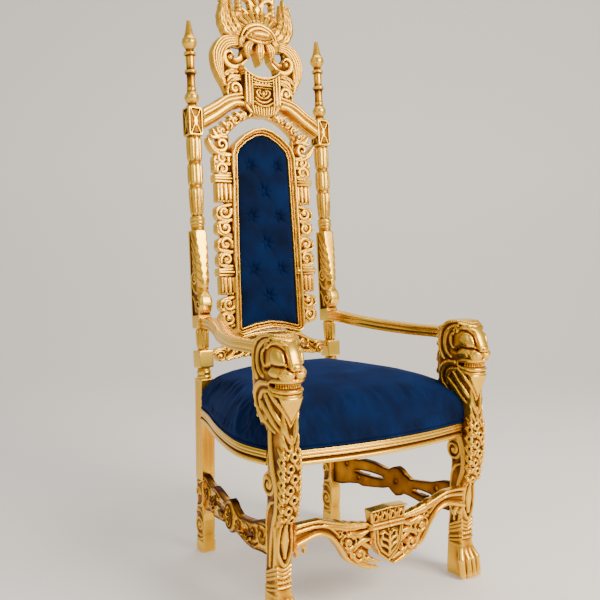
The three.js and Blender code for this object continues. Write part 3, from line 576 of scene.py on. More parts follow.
def carveShield(board):
    def outline(inset):
        half = 67 - inset
        right = [(0, 1339 + inset), (24, 1341 + inset), (half * 0.72, 1352 + inset), (half * 0.93, 1368 + inset), (half, 1384 + inset), (half, 1490 - inset), (half * 0.74, 1478 - inset), (half * 0.4, 1468 - inset), (0, 1465 - inset)]
        return right + [(-x, z) for x, z in right[-2:0:-1]]

    carvePlate(board, outline(0), 30, bevel=2)
    # three upright ribs on each side, then the sunk field
    for x, wide in ((61, 9), (49.5, 9), (38.5, 8)):
        carveBand(board, [(x, 1384 - (67 - x) * 0.2), (x, 1484 - (67 - x) * 0.42)], wide, 36, drop=4, cut=False)
    sink(board, [(0, 1372), (33, 1378), (33, 1462), (0, 1452), (-33, 1462), (-33, 1378)], 27)
    # rolled top edge and two fine rims under it
    for lift, wide, top in ((0, 9, 38), (-11, 5, 35), (-19, 4, 33)):
        carveBand(board, [(-66, 1489 + lift), (-50, 1476 + lift), (-27, 1467 + lift), (0, 1464 + lift), (27, 1467 + lift), (50, 1476 + lift), (66, 1489 + lift)], wide, top, drop=3.5, cut=False)
    # relief in the field: a plain band with drops, leaves round a lozenge and a swag
    carveBand(board, [(-32, 1441), (32, 1441)], 5, 34, drop=3, cut=False)
    carveBand(board, [(-32, 1432), (32, 1432)], 3, 32, drop=2, cut=False)
    for x in (-24, -12, 0, 12, 24):
        carveBoss(board, (x, 1448), (4.2, 5.2), 33, 4, cut=False)
    for side in (-1, 1):
        carveBand(board, [(side * 3, 1398), (side * 17, 1404), (side * 24, 1418), (side * 14, 1425)], [4, 7, 7, 3], 36, drop=4, rib=1.5, cut=False)
        carveBand(board, [(side * 2, 1412), (side * 12, 1414), (side * 10, 1426)], [3, 5, 3], 35, drop=3, cut=False)
        carveBand(board, [(0, 1385), (side * 16, 1389), (side * 30, 1400)], [6, 6, 4], 36, drop=3.5, cut=False)
        carveBand(board, [(0, 1373), (side * 18, 1377), (side * 34, 1387)], [7, 7, 5], 37, drop=4, cut=False)
    carveBoss(board, (0, 1412), (6, 10), 38, 6, cut=False)
    # fluted foot
    for x in np.linspace(-40, 40, 9):
        carveBand(board, [(x * 0.86, 1343 + abs(x) * 0.16), (x, 1366 + abs(x) * 0.2)], [6, 8], 34, drop=4, cut=False)


def carveFlower(board):
    # a fan of ribbed rays, fused to a shell
    carvePlate(board, [(-92, 1590), (-88, 1640), (-76, 1672), (-40, 1684), (40, 1684), (76, 1672), (88, 1640), (92, 1590)], 13, bevel=3)
    carveBoss(board, (0, 1588), 46, 16, 3)
    for i in range(11):
        a = math.radians(14 + 15.2 * i)
        root, belly, tip = ((r * math.cos(a), 1594 + r * math.sin(a)) for r in (26, 56, 86 - 0.6 * abs(i - 5)))
        carveBand(board, [root, belly, tip], [8, 17, 19], [21, 23, 17], drop=6, rib=3 if i % 2 else 0, vein=0.8, ruffles=2)
    # broad ribbed lobes hang under the boss
    lobes = [
        ([(50, 1592), (64, 1578), (66, 1552)], [14, 24, 8], [26, 26, 20]), ([(28, 1580), (44, 1556), (42, 1524)], [20, 34, 9], [29, 30, 23]),
        ([(0, 1578), (0, 1546), (0, 1509)], [24, 36, 8], [33, 34, 26]),
    ]
    for marks, widths, tops in lobes:
        for side in (-1, 1):
            carveBand(board, [(side * x, z) for x, z in marks], widths, tops, drop=7, reeds=3, reedDepth=2.8, slope=2.6)
    # two rolled brows over a long rimmed boss
    carveBand(board, [(-66, 1590), (-46, 1620), (0, 1636), (46, 1620), (66, 1590)], [6, 13, 15, 13, 6], [24, 28, 29, 28, 24], drop=5)
    carveBand(board, [(-52, 1592), (-34, 1612), (0, 1622), (34, 1612), (52, 1592)], [5, 10, 12, 10, 5], [28, 33, 34, 33, 28], drop=4.5)
    carveBand(board, [(-50, 1592), (-28, 1582), (0, 1578), (28, 1582), (50, 1592)], [5, 10, 12, 10, 5], [28, 33, 35, 33, 28], drop=5)
    carveBoss(board, (0, 1600), (40, 14.5), 36, 5)
    carveBand(board, [(-25, 1600), (0, 1602), (25, 1600)], [11, 17, 11], 42.5, drop=6.5)


def carveCrestTop(board):
    # feathered leaves rise on each side, with notched outer edges
    blades = [
        ([(64, 1588), (106, 1604), (124, 1642), (119, 1690), (110, 1722)], [14, 30, 32, 22, 4]),
        ([(58, 1594), (88, 1614), (107, 1656), (104, 1738)], [14, 28, 26, 5]), ([(50, 1602), (74, 1626), (90, 1664), (91, 1718)], [12, 22, 22, 5]),
    ]
    for i, (marks, widths) in enumerate(blades):
        carveBand(board, marks, widths, [16 + 2 * i, 20 + 2 * i, 18 + i, 13], drop=6, reeds=2, reedDepth=3, ruffles=7, ruffle=0.07, vein=2.2)
    for z in (1612, 1634, 1656, 1678, 1700):
        carveBand(board, [(112, z - 6), (126, z + 4), (131 - max(z - 1660, 0) * 0.2, z + 16)], [10, 10, 3], 15, drop=4, rib=1.4)
    # tracery between the balusters: a V of leaves on a lozenge, and a plainer cresting above
    carveBand(board, [(62, 1718), (46, 1724), (24, 1712), (0, 1684)], [12, 13, 14, 14], 17, drop=5, reeds=2, reedDepth=2)
    carveBand(board, [(0, 1668), (16, 1682), (24, 1708), (24, 1736), (0, 1776)], [8, 12, 12, 12, 10], 17, drop=5, rib=2)
    carveBand(board, [(0, 1700), (0, 1750), (0, 1796)], [10, 26, 20, 3], 19, drop=6, rib=-2, ruffles=4, ruffle=0.06, vein=2)
    carvePlate(board, [(0, 1660), (16, 1686), (0, 1710), (-16, 1686)], 22, bevel=5)
    carveBand(board, [(34, 1672), (47, 1682), (62, 1684)], [12, 12, 9], 16, drop=4)


def turnedRadius(profile, at):
    # the profile lists (height, radius); rounds come from a smooth curve through it
    p = splinePoints(profile, 12 * len(profile))
    return np.interp(at, p[:, 0], p[:, 1])


def buildCrest():
    board = newBoard((0, 1290), (crest["half"], 1804), crest["step"])
    carveCrestRails(board)
    carveCrestScroll(board)
    carveFlower(board)
    carveCrestTop(board)
    carveShield(board)
    pierce(board, [(60, 1557), (66, 1536), (84, 1527), (97, 1545), (95, 1559)], 1)
    board["edge"] = np.maximum(board["edge"], board["u"] - (crest["half"] - 0.6))
    # the balusters stand clear of the board, so they are cut from a turned profile
    step = board["step"]
    away = np.abs(board["u"] - crest["balusterX"])
    profile = [(1668, 11), (1676, 12), (1681, 12.4), (1685, 8), (1689, 11.6), (1694, 11.6), (1698, 7.6), (1703, 11), (1709, 11), (1714, 7.4), (1722, 10.6), (1732, 11), (1744, 8), (1754, 3)]
    radius = turnedRadius(profile, board["w"])
    radius = np.where((board["w"] > 1674) & (board["w"] < 1753), radius, 0)
    swell = np.sqrt(np.maximum(radius ** 2 - away ** 2, 0))
    inside = radius > away
    board["rise"] = np.where(inside, np.maximum(board["rise"], 6 + swell), board["rise"])
    board["edge"] = np.minimum(board["edge"], np.where(radius > 0, away - radius, 60))
    heights, depths = zip(*crest["rear"])
    rear = np.interp(board["w"], heights, depths)
    verts, quads = boardMesh(board, crest["back"], 44, backRise=np.concatenate([rear[::-1], rear], 0))
    mesh = makeMesh("crest", leanBack(verts), triangulated(quads), crest["triangles"])
    addPiece("carvedCrest", mesh, gold, "gilded_wood", "crest")

# ---- back posts ----

post = {
    "x": 236,
    "half": 22.5,
    "blockHalf": 24,
    "step": 1.7,
    "shaftTriangles": 54000,
    "footTriangles": 20000,
    "tongues": 8,
}


def fieldGrid(low, high, step):
    axes = [np.arange(a, b + step, step) for a, b in zip(low, high)]
    x, y, z = np.meshgrid(*axes, indexing="ij", sparse=True)
    return x, y, z


def netMesh(name, field, low, step, limit, lean=False):
    verts, quads = surfaceNet(field.astype(np.float32), low, step)
    if lean:
        verts = leanBack(verts)
    return makeMesh(name, verts, triangulated(quads), limit)


def turnedField(x, y, z, profile):
    line = np.array(profile, float)
    radius = np.interp(z, line[:, 0], line[:, 1])
    ends = np.maximum(line[0, 0] - z, z - line[-1, 0])
    return np.maximum(np.hypot(x, y) - radius, ends)


def drumField(x, y, z, bottom, top, low, high, tongues, depth=0.17):
    # a drum of upright tongues with round ends
    angle = np.arctan2(y, x) + math.pi / tongues
    u = (angle / (2 * math.pi) * tongues) % 1.0 * 2 - 1
    t = (z - bottom) / (top - bottom)
    radius = low + (high - low) * np.clip(t, 0, 1) + 1.0 * np.sin(math.pi * np.clip(t, 0, 1))
    inset = np.minimum(z - bottom, top - z) - 3 - 7 * u ** 2
    tongue = radius * (1 - depth * (1 - np.sqrt(np.maximum(1 - u * u, 0)))) - 1.2 * np.exp(-((np.abs(u) - 0.0) / 0.12) ** 2)
    core = radius * 0.8
    swell = np.clip(inset / 5, 0, 1)
    blend = core + (tongue - core) * np.sqrt(np.maximum(1 - (1 - swell) ** 2, 0))
    return np.maximum(np.hypot(x, y) - blend, np.maximum(bottom - 1 - z, z - top - 1))


def blockField(x, y, z, half, bottom, top):
    return softMax(softMax(np.abs(x) - half, np.abs(y) - half, 1.5), np.maximum(bottom - z, z - top), 1.5)


def consoleSides():
    # leaf gouges that sweep down and forward, over a spiral; u is the depth, w the height
    board = newBoard((-52, 676), (26, 990), 1.6)
    board["rise"][:] = -3.2
    for i, z in enumerate((948, 922, 896, 872, 850)):
        reach = 4 + 5 * i
        carveBand(board, [(14 - reach * 0.3, z + 26 - i * 2), (0, z + 8), (-14, z - 14), (-27, z - 44 + i * 3)], [3, 15, 13, 4], [-2.5, -0.4, 0, -1], drop=3.6, cut=False, slope=1.2)
    carveBand(board, volutePath((-4, 832), 21, 4, -1.4, 110), [10, 9, 6], 0, drop=3.5, cut=False, slope=1.2)
    carveBoss(board, (-4, 832), 5, 0.4, 3, cut=False)
    carveBand(board, [(14, 816), (2, 798), (-14, 790), (-30, 792)], [5, 13, 12, 5], -0.4, drop=3.4, cut=False, slope=1.2)
    carveBand(board, volutePath((-22, 756), 19, 4, 1.3, 100), [10, 9, 6], 0, drop=3.5, cut=False, slope=1.2)
    carveBand(board, [(12, 780), (0, 760), (-4, 736)], [8, 11, 6], -0.8, drop=3, cut=False, slope=1.2)
    carvePlate(board, [(14, 676), (26, 676), (26, 990), (14, 990)], 0, cut=False)
    carvePlate(board, [(-52, 676), (26, 676), (26, 722), (-52, 722)], 0, cut=False)
    return board


def buildShaft():
    step = post["step"]
    low, high = (-27, -50, 486), (27, 28, 1628)
    x, y, z = fieldGrid(low, high, step)
    field = turnedField(x, y, z, [(488, 19), (528, 19), (533, 22.6), (538, 22.6), (541, 19.4), (547, 22.8), (552, 22.8), (556, 19), (568, 19)])
    block = blockField(x, y, z, post["blockHalf"] - 0.3, 563.5, 616)
    field = np.minimum(field, block)
    field = np.minimum(field, drumField(x, y, z, 615, 683, 18.5, 21, post["tongues"]))
    # console
    board = consoleSides()
    ys, zs = np.arange(low[1], high[1] + step, step), np.arange(low[2], high[2] + step, step)
    i = np.clip(((ys - board["us"][0]) / board["step"]).round().astype(int), 0, len(board["us"]) - 1)
    k = np.clip(((zs - board["ws"][0]) / board["step"]).round().astype(int), 0, len(board["ws"]) - 1)
    relief = board["rise"][np.ix_(i, k)][None]
    front = [(680, 22.5), (722, 22.5), (728, 25), (738, 38), (752, 44), (764, 43.6), (778, 39), (788, 31), (796, 32), (815, 36.5), (840, 36), (890, 32.5), (950, 26), (979, 23)]
    front = np.array(front, float)
    out = np.interp(z, front[:, 0], front[:, 1])
    plane = np.interp(z, [682, 726, 740, 780, 796, 810, 870, 978], [22.5, 22.5, 14, 14, 5, 6, 10, 21])
    wave = 1.6 * np.cos(2 * math.pi * (z - 0.9 * np.abs(x)) / 24) * ((z > 800) & (z < 960))
    chamfer = (np.abs(x) - plane - y - out) * 0.7 + wave * 0.8
    body = softMax(np.abs(x) - post["half"] - relief, np.maximum(-y - out, y - post["half"]), 1.2)
    body = np.maximum(softMax(body, chamfer, 1.5), np.maximum(682 - z, z - 979))
    field = np.minimum(field, body)
    # collar, three drums, framed block and finial
    field = np.minimum(field, turnedField(x, y, z, [(976, 20), (990, 20), (992, 21.5), (996, 21.5), (997.5, 19.5), (999, 23), (1004, 23.6), (1007, 22.6), (1008.5, 20), (1010, 23), (1016, 23.4), (1018, 22.4), (1019.5, 20.5), (1022, 20.5)]))
    field = np.minimum(field, drumField(x, y, z, 1021, 1112, 19.5, 24, post["tongues"]))
    field = np.minimum(field, drumField(x, y, z, 1114, 1185, 23.6, 23.8, post["tongues"]))
    field = np.minimum(field, drumField(x, y, z, 1187, 1266, 23, 24.4, post["tongues"]))
    top = blockField(x, y, z, post["blockHalf"], 1266, 1354)
    for across, depth in ((x, y), (y, x)):
        panel = np.maximum(np.abs(across) - 18, np.abs(z - 1310) - 37)
        cross = np.abs(np.abs(across) - np.abs(z - 1310) * 0.42) - 2.4
        lozenge = np.abs(across) / 9 + np.abs(z - 1310) / 20 - 1
        raised = np.minimum(cross, lozenge * 6)
        sunk = softMax(panel, -raised, 1.0)
        top = softMax(top, -softMax(sunk, post["blockHalf"] - 3.2 - np.abs(depth), 1.0), 0.8)
    field = np.minimum(field, top)
    finial = [(1352, 21), (1356, 21), (1360, 16), (1366, 13), (1374, 20), (1382, 23), (1390, 22.6), (1398, 17), (1404, 13.4), (1412, 15), (1418, 13), (1440, 12.4), (1455, 13), (1461, 19.6), (1466, 19.6), (1471, 13), (1480, 12.6), (1500, 13.6), (1508, 13.4), (1513, 13.6), (1516, 19.6), (1521, 19.6), (1526, 12.6), (1532, 12), (1538, 16), (1546, 22), (1554, 24), (1562, 22.6), (1572, 16), (1580, 13), (1592, 11), (1606, 8.4), (1618, 6.4), (1622, 5.8)]
    field = np.minimum(field, turnedField(x, y, z, finial))
    return netMesh("shaft", field, low, step, post["shaftTriangles"], lean=True)


def buildFoot():
    step = 1.8
    board = newBoard((214, 0), (290, 540), 1.6)
    board["rise"][:] = -3
    carvePlate(board, [(214, 222), (290, 222), (290, 540), (214, 540)], 0, bevel=1.5, cut=False)
    carvePlate(board, [(214, 0), (290, 0), (290, 34), (214, 34)], 0, bevel=1.5, cut=False)
    carveBand(board, volutePath((251, 82), 31, 4, 1.6, 250), [10, 9, 8, 6], 0, drop=3.2, cut=False, slope=1.3)
    carveBoss(board, (251, 82), 6, 0.4, 3, cut=False)
    carveBand(board, [(224, 50), (240, 40), (262, 38), (280, 46)], [6, 8, 8, 5], -0.4, drop=3, cut=False, slope=1.3)
    carveBand(board, [(226, 112), (244, 126), (266, 124), (282, 110)], [5, 8, 8, 5], -0.3, drop=3, cut=False, slope=1.3)
    carveBand(board, [(272, 140), (250, 142), (236, 150), (228, 176), (230, 216)], [5, 9, 10, 9, 7], 0, drop=3, cut=False, slope=1.3)
    carveBand(board, volutePath((262, 182), 17, 3, -1.4, 190), [8, 7, 5], 0, drop=3, cut=False, slope=1.3)
    carveBand(board, [(240, 220), (256, 212), (276, 214)], [6, 8, 5], -0.4, drop=3, cut=False, slope=1.3)
    low, high = (-27, 208, -4), (27, 292, 534)
    x, y, z = fieldGrid(low, high, step)
    middle = 250 + 7 * z / 520
    swell = np.array([(0, 22.4), (56, 22.6), (70, 24.5), (84, 26.6), (100, 27), (120, 25), (140, 21), (160, 20.6), (176, 22), (186, 24), (206, 24), (222, 22), (250, 22.5), (532, 22.5)], float)
    deep = np.interp(z, swell[:, 0], swell[:, 1])
    ys, zs = np.arange(low[1], high[1] + step, step), np.arange(low[2], high[2] + step, step)
    i = np.clip(((ys - board["us"][0]) / board["step"]).round().astype(int), 0, len(board["us"]) - 1)
    k = np.clip(((zs - board["ws"][0]) / board["step"]).round().astype(int), 0, len(board["ws"]) - 1)
    relief = board["rise"][np.ix_(i, k)][None]
    field = softMax(np.abs(x) - post["half"] - relief, np.abs(y - middle) - deep, 2.0)
    field = softMax(field, np.maximum(-z, z - 531.5), 1.0)
    return netMesh("foot", field, low, step, post["footTriangles"])


def joined(name, meshes, moves=None):
    holders = []
    for i, mesh in enumerate(meshes):
        if moves:
            mesh.transform(Matrix.Translation([m / 1000 for m in moves[i]]))
        holders.append(mesh)
    verts, faces, base = [], [], 0
    for mesh in holders:
        co = np.empty(len(mesh.vertices) * 3)
        mesh.vertices.foreach_get("co", co)
        mesh.calc_loop_triangles()
        tri = np.empty(len(mesh.loop_triangles) * 3, np.int32)
        mesh.loop_triangles.foreach_get("vertices", tri)
        verts.append(co.reshape(-1, 3) * 1000)
        faces.append(tri.reshape(-1, 3) + base)
        base += len(mesh.vertices)
    return makeMesh(name, np.concatenate(verts), np.concatenate(faces))


def addPair(name, mesh, node):
    # the right-hand piece and its mirror image
    twin = mirroredMesh(mesh, name)
    addPiece(name + "Right", mesh, gold, "gilded_wood", node + "_right")
    addPiece(name + "Left", twin, gold, "gilded_wood", node + "_left")


def buildPosts():
    whole = joined("post", [buildShaft(), buildFoot()])
    whole.transform(Matrix.Translation((post["x"] / 1000, 0, 0)))
    addPair("backPost", whole, "back_post")

# ---- the back: arched moulding, pierced strips, spandrels and pad ----

back = {
    "step": 1.8,
    "wide": 26,  # width of the arched moulding
    "rear": 12.5,
    "triangles": 128000,
    "tufts": [(50, 1188), (0, 1107), (50, 1026), (0, 942), (50, 858), (0, 772)],
    "collars": [1140, 850],
}


def archLine(grow=0.0):
    marks = [(0, 694 - grow), (55, 688 - grow), (103 + grow, 676 - grow), (99 + grow, 950), (92 + grow, 1214 + grow * 0.3)]
    marks += [(84 + grow * 0.9, 1236 + grow * 0.4), (56 + grow * 0.75, 1261 + grow * 0.7), (24 + grow * 0.4, 1279 + grow * 0.95), (0, 1284 + grow)]
    return marks


def archOutline(grow=0.0):
    half = archLine(grow)
    return half + [(-x, z) for x, z in half[-2:0:-1]]


def carveMoulding(board):
    gap = outlineGap(archOutline(), board["u"], board["w"])
    across = np.array([(-3, 0), (0, 11), (1.5, 14.5), (3.5, 15.5), (5.5, 13.5), (6.5, 9), (9, 8), (10, 15), (11.5, 17.5), (13, 16), (14, 14), (14.8, 19), (17, 23.4), (20, 25), (23, 23.6), (25, 20), (26.2, 14), (30, 4)], float)
    height = np.interp(gap, across[:, 0], across[:, 1])
    inside = (gap > -3) & (gap < 30)
    board["rise"] = np.where(inside, np.maximum(board["rise"], height), board["rise"])
    half = back["wide"] / 2 + 1.2 * (board["w"] < 706)  # it laps over the rail below
    board["edge"] = np.minimum(board["edge"], np.abs(gap - half) - half)


def carveCollar(board, z):
    carvePlate(board, [(110, z - 13), (178, z - 13), (178, z + 13), (110, z + 13)], 12)
    for lift, wide, top in ((-9, 7, 18), (0, 10, 21.5), (9, 7, 18)):
        carveBand(board, [(112, z + lift), (145, z + lift), (177, z + lift)], wide, top, drop=3.5)


def carveBlock(board, low, high):
    # upright lobes over a row of beads
    carvePlate(board, [(116, low), (173, low), (173, high), (116, high)], 12, bevel=2)
    middle = (low + high) / 2
    for x, wide in ((126, 12), (141, 13), (156, 13), (168, 9)):
        carveBand(board, [(x, low + 9), (x, middle), (x, high - 5)], [wide * 0.7, wide, wide * 0.85], 19.5, drop=5, rib=1.4, cut=False)
    carveBeads(board, [(124, low + 4), (146, low + 3), (168, low + 4)], 6, 4, 18, cut=False)


def carveScrolls(board, low, high, turn):
    # two volutes that answer each other on a leafy ground, with tips that reach the outer edge
    tall = high - low
    carveBand(board, [(124, low - 2), (128, (low + high) / 2), (124, high + 2)], [30, 38, 30], 6, drop=2)
    for share, radius, spin, start in ((0.74, 23, turn, 200), (0.24, 21, -turn, 20)):
        eye = (148, low + tall * share)
        carveBand(board, volutePath(eye, radius, 4, -1.25 * spin, start * spin), [12, 12, 10, 7], 19, drop=4.5, rib=1)
        carveBoss(board, eye, 7, 20, 5)
    tips = [
        ([(122, high - 2), (150, high - 8), (171, high - 16), (176, high - 36)], [9, 14, 13, 5]), ([(122, low + tall * 0.47), (146, low + tall * 0.5), (168, low + tall * 0.55), (178, low + tall * 0.64)], [10, 15, 13, 4]),
        ([(122, low + tall * 0.52), (142, low + tall * 0.42), (166, low + tall * 0.40), (177, low + tall * 0.32)], [8, 13, 12, 4]), ([(122, low + 3), (150, low + 2), (171, low + 10), (176, low + 28)], [9, 14, 13, 5]),
    ]
    for marks, widths in tips:
        carveBand(board, marks, widths, 17, drop=4, rib=1.4, ruffles=3, ruffle=0.05)
    carveBand(board, [(120, low), (122, (low + high) / 2), (120, high)], [9, 8, 9], 12, drop=2.5)


def carveWing(board):
    # the leaf that opens beside the top of the moulding
    carveBand(board, [(126, 1208), (132, 1240), (128, 1272)], [30, 34, 26], 6, drop=2)
    carveBand(board, [(118, 1214), (146, 1216), (172, 1228), (188, 1248), (196, 1264)], [12, 21, 21, 15, 3], 20, drop=5, reeds=2, reedDepth=2.4)
    carveBand(board, volutePath((149, 1246), 21, 5, -1.2, -70), [13, 13, 11, 7], 21, drop=5, rib=1)
    carveBand(board, [(130, 1270), (152, 1272), (174, 1266), (188, 1274)], [11, 15, 13, 4], 18, drop=4.5, rib=1.4)
    carveBand(board, [(156, 1264), (170, 1280), (178, 1294)], [13, 14, 4], 18, drop=4.5, rib=1.4)


def carveSpandrel(board):
    # scrolls, berries and leaf tips that climb the arch under the raking rail
    line = [(136, 1262), (126, 1282), (104, 1304), (80, 1322), (54, 1336), (24, 1344)]
    carveBand(board, line, [14, 13, 12, 10, 9, 8], 10, drop=2.5)
    spots = [((141, 1288), 13, 1), ((121, 1308), 13, -1), ((97, 1326), 12, 1), ((72, 1339), 11, -1)]
    for eye, radius, spin in spots:
        carveBand(board, volutePath(eye, radius, 2, 1.15 * spin, 230), [8, 8, 6], 19, drop=4, rib=1.2)
        carveBoss(board, eye, 4.4, 20, 4)
    for x, z in ((154, 1298), (137, 1312), (116, 1326), (110, 1333), (90, 1341), (64, 1350), (158, 1284), (46, 1344)):
        carveBoss(board, (x, z), 5.4, 17, 5)
    for root, belly, tip in (((146, 1276), (158, 1288), (164, 1302)), ((124, 1296), (134, 1312), (146, 1318)), ((100, 1314), (110, 1332), (122, 1338)), ((76, 1328), (84, 1345), (98, 1352)), ((56, 1338), (60, 1350), (74, 1357))):
        carveBand(board, [root, belly, tip], [7, 10, 3], 18, drop=4, rib=1.6)


def buildBackFrame():
    board = newBoard((0, 646), (198, 1362), back["step"])
    for z in back["collars"]:
        carveCollar(board, z)
    carveBlock(board, 1066, 1126)
    carveBlock(board, 780, 836)
    carveScrolls(board, 1154, 1220, 1)
    carveScrolls(board, 964, 1062, -1)
    carveScrolls(board, 866, 962, 1)
    carveScrolls(board, 684, 776, -1)
    carveWing(board)
    carveSpandrel(board)
    carveMoulding(board)
    # it stops against the rail below and the crest above
    low = np.interp(board["u"], [0, 60, 112, 150, 200], [666, 662, 650, 628, 612])
    inner = outlineGap(archOutline(), board["u"], board["w"])
    board["edge"] = np.maximum(board["edge"], np.maximum(low - board["w"], -inner))
    board["edge"] = np.maximum(board["edge"], 664 - 0.34 * np.maximum(board["u"] - 60, 0) - board["w"])
    crestLow = np.interp(board["u"], [0, 40, 58, 90, 120, 165, 200], [1336, 1345, 1352, 1352, 1336, 1306, 1280])
    rear = np.full(board["u"].shape, back["rear"])
    board["edge"] = np.maximum(board["edge"], np.where(board["u"] > 24, board["w"] - crestLow - 6, board["w"] - 1336))
    verts, quads = boardMesh(board, back["rear"], 27, backRise=np.concatenate([rear[::-1], rear], 0))
    mesh = makeMesh("backFrame", leanBack(verts), triangulated(quads), back["triangles"])
    addPiece("carvedBackFrame", mesh, gold, "gilded_wood", "back_frame")


def buildBackPad():
    # deep-buttoned velvet: a soft crown with a dimple at each button and slack folds between them
    board = newBoard((0, 672), (104, 1290), 2.0)
    u, w = board["u"], board["w"]
    gap = outlineGap(archOutline(-0.4), u, w)
    inward = np.maximum(-gap, 0)
    rise = 9 + 9.5 * (1 - np.exp(-inward / 13))
    spots = [(side * x, z) for x, z in back["tufts"] for side in ((-1, 1) if x else (1,))]
    for x, z in spots:
        away = np.hypot(u - x, w - z)
        around = np.arctan2(w - z, u - x)
        pleats = (0.5 + 0.5 * np.cos(6 * around + 3 * math.pi / 2 * (abs(x) > 1))) ** 2
        rise -= 9.5 * np.exp(-(away / 11) ** 2) + 4.5 * np.exp(-(away / 30) ** 2)
        rise -= 4.6 * pleats * np.exp(-((away - 13) / 11) ** 2)
    links = [(a, b) for i, a in enumerate(spots) for b in spots[i + 1:] if 60 < math.dist(a, b) < 110 and abs(a[0] - b[0]) > 20 and abs(a[1] - b[1]) > 20]
    for side in (-1, 1):
        links += [((side * 50, z), (side * 104, z + 46 * k)) for z in (1188, 1026, 858) for k in (-1, 1)]
        links += [((0, 772), (side * 62, 690)), ((side * 50, 1188), (side * 22, 1276))]
    for (ax, az), (bx, bz) in links:
        dx, dz = bx - ax, bz - az
        t = np.clip(((u - ax) * dx + (w - az) * dz) / max(dx * dx + dz * dz, 1e-6), 0, 1)
        away = np.hypot(u - ax - t * dx, w - az - t * dz)
        rise -= 2.4 * np.exp(-(away / 5) ** 2) * (1 - 0.55 * np.sin(math.pi * t))
    for x, z in spots:
        away = np.hypot(u - x, w - z)
        rise = np.where(away < 7.5, np.maximum(rise, 2.5 + 4.2 * np.sqrt(np.clip(1 - (away / 7.5) ** 2, 0, 1))), rise)
    board["rise"], board["edge"] = rise, gap
    rear = np.full(u.shape, 11.6)
    verts, quads = boardMesh(board, 12, 20, ease=2.5, backRise=np.concatenate([rear[::-1], rear], 0))
    mesh = makeMesh("backPad", leanBack(verts), triangulated(quads), 44000)
    pad = addPiece("backPad", mesh, velvet, "velvet", "back_pad")


def buildLowerRail():
    board = newBoard((0, 562), (211.6, 668), 1.8)
    top = np.interp(board["u"], [0, 60, 112, 150, 212], [666.5, 664, 654, 634, 616])
    low = np.interp(board["u"], [0, 80, 140, 172, 212], [572, 583, 580, 572, 574])
    # the rim under the moulding
    carveBand(board, [(0, 656), (60, 653), (110, 643), (148, 624), (212, 607)], [16, 16, 15, 13, 11], 15, drop=4, reeds=2, reedDepth=2)
    # outer volutes by the posts, with a smaller one above
    carveBand(board, volutePath((184, 592), 19, 3, 1.5, 30), [9, 9, 8, 5], 19, drop=4.5)
    carveBoss(board, (184, 592), 6, 20, 5)
    carveBand(board, [(212, 600), (196, 612), (176, 616), (160, 606)], [8, 11, 10, 6], 17, drop=4, rib=1.6)
    # leaves along the rail, with drilled eyes
    carveBand(board, [(168, 584), (150, 592), (136, 606), (140, 622)], [8, 13, 13, 5], 17, drop=4.5, rib=1.8)
    carveBand(board, [(160, 580), (140, 586), (116, 590), (100, 604), (104, 622)], [6, 11, 13, 12, 5], 18, drop=4.5, rib=1.8)
    carveBand(board, volutePath((118, 618), 13, 2, -1.15, 240), [7, 7, 5], 19, drop=4)
    carveBoss(board, (118, 618), 4.4, 19, 4)
    carveBand(board, [(96, 588), (82, 600), (78, 620), (88, 640)], [9, 14, 14, 5], 18, drop=4.5, rib=1.8)
    # the middle: a broad fan over a round boss, nested arches of leaf
    for radius, wide, height in ((62, 15, 16), (45, 13, 18), (30, 11, 19)):
        arc = [(radius * math.cos(a), 578 + radius * 1.05 * math.sin(a)) for a in np.linspace(0.05, math.pi / 2, 6)]
        arc += [(-x, z) for x, z in arc[-2::-1]][:2]
        carveBand(board, arc, wide, height, drop=4.5)
    for angle in np.linspace(12, 90, 6):
        a = math.radians(angle)
        carveBand(board, [(34 * math.cos(a), 580 + 36 * math.sin(a)), (56 * math.cos(a), 580 + 58 * math.sin(a)), (70 * math.cos(a), 580 + 70 * math.sin(a))], [5, 11, 4], 19, drop=4, rib=1.2)
    carveBoss(board, (0, 596), (22, 17), 20, 6)
    carvePlate(board, [(0, 574), (78, 586), (140, 584), (168, 578), (176, 600), (112, 640), (0, 656)], 7)
    for x, z, r in ((130, 613, 8), (100, 602, 4), (163, 606, 4), (68, 628, 3.6)):
        pierce(board, [(x + r * math.cos(a), z + r * math.sin(a)) for a in np.linspace(0, 2 * math.pi, 13)[:-1]])
    board["edge"] = np.maximum(board["edge"], np.maximum(board["w"] - top, low - board["w"]))
    verts, quads = boardMesh(board, 11.8, 20)
    mesh = makeMesh("lowerRail", leanBack(verts), triangulated(quads), 42000)
    addPiece("carvedLowerRail", mesh, gold, "gilded_wood", "lower_rail")

# ---- stretchers ----

stretcher = {
    "frontY": -335,
    "backY": -311,
    "bow": 20,  # how far each side stretcher bows outward
    "thick": 24,
    "frontTriangles": 86000,
    "sideTriangles": 42000,
    "postY": 250,
    "postX": 236,
    "legX": 305,
}


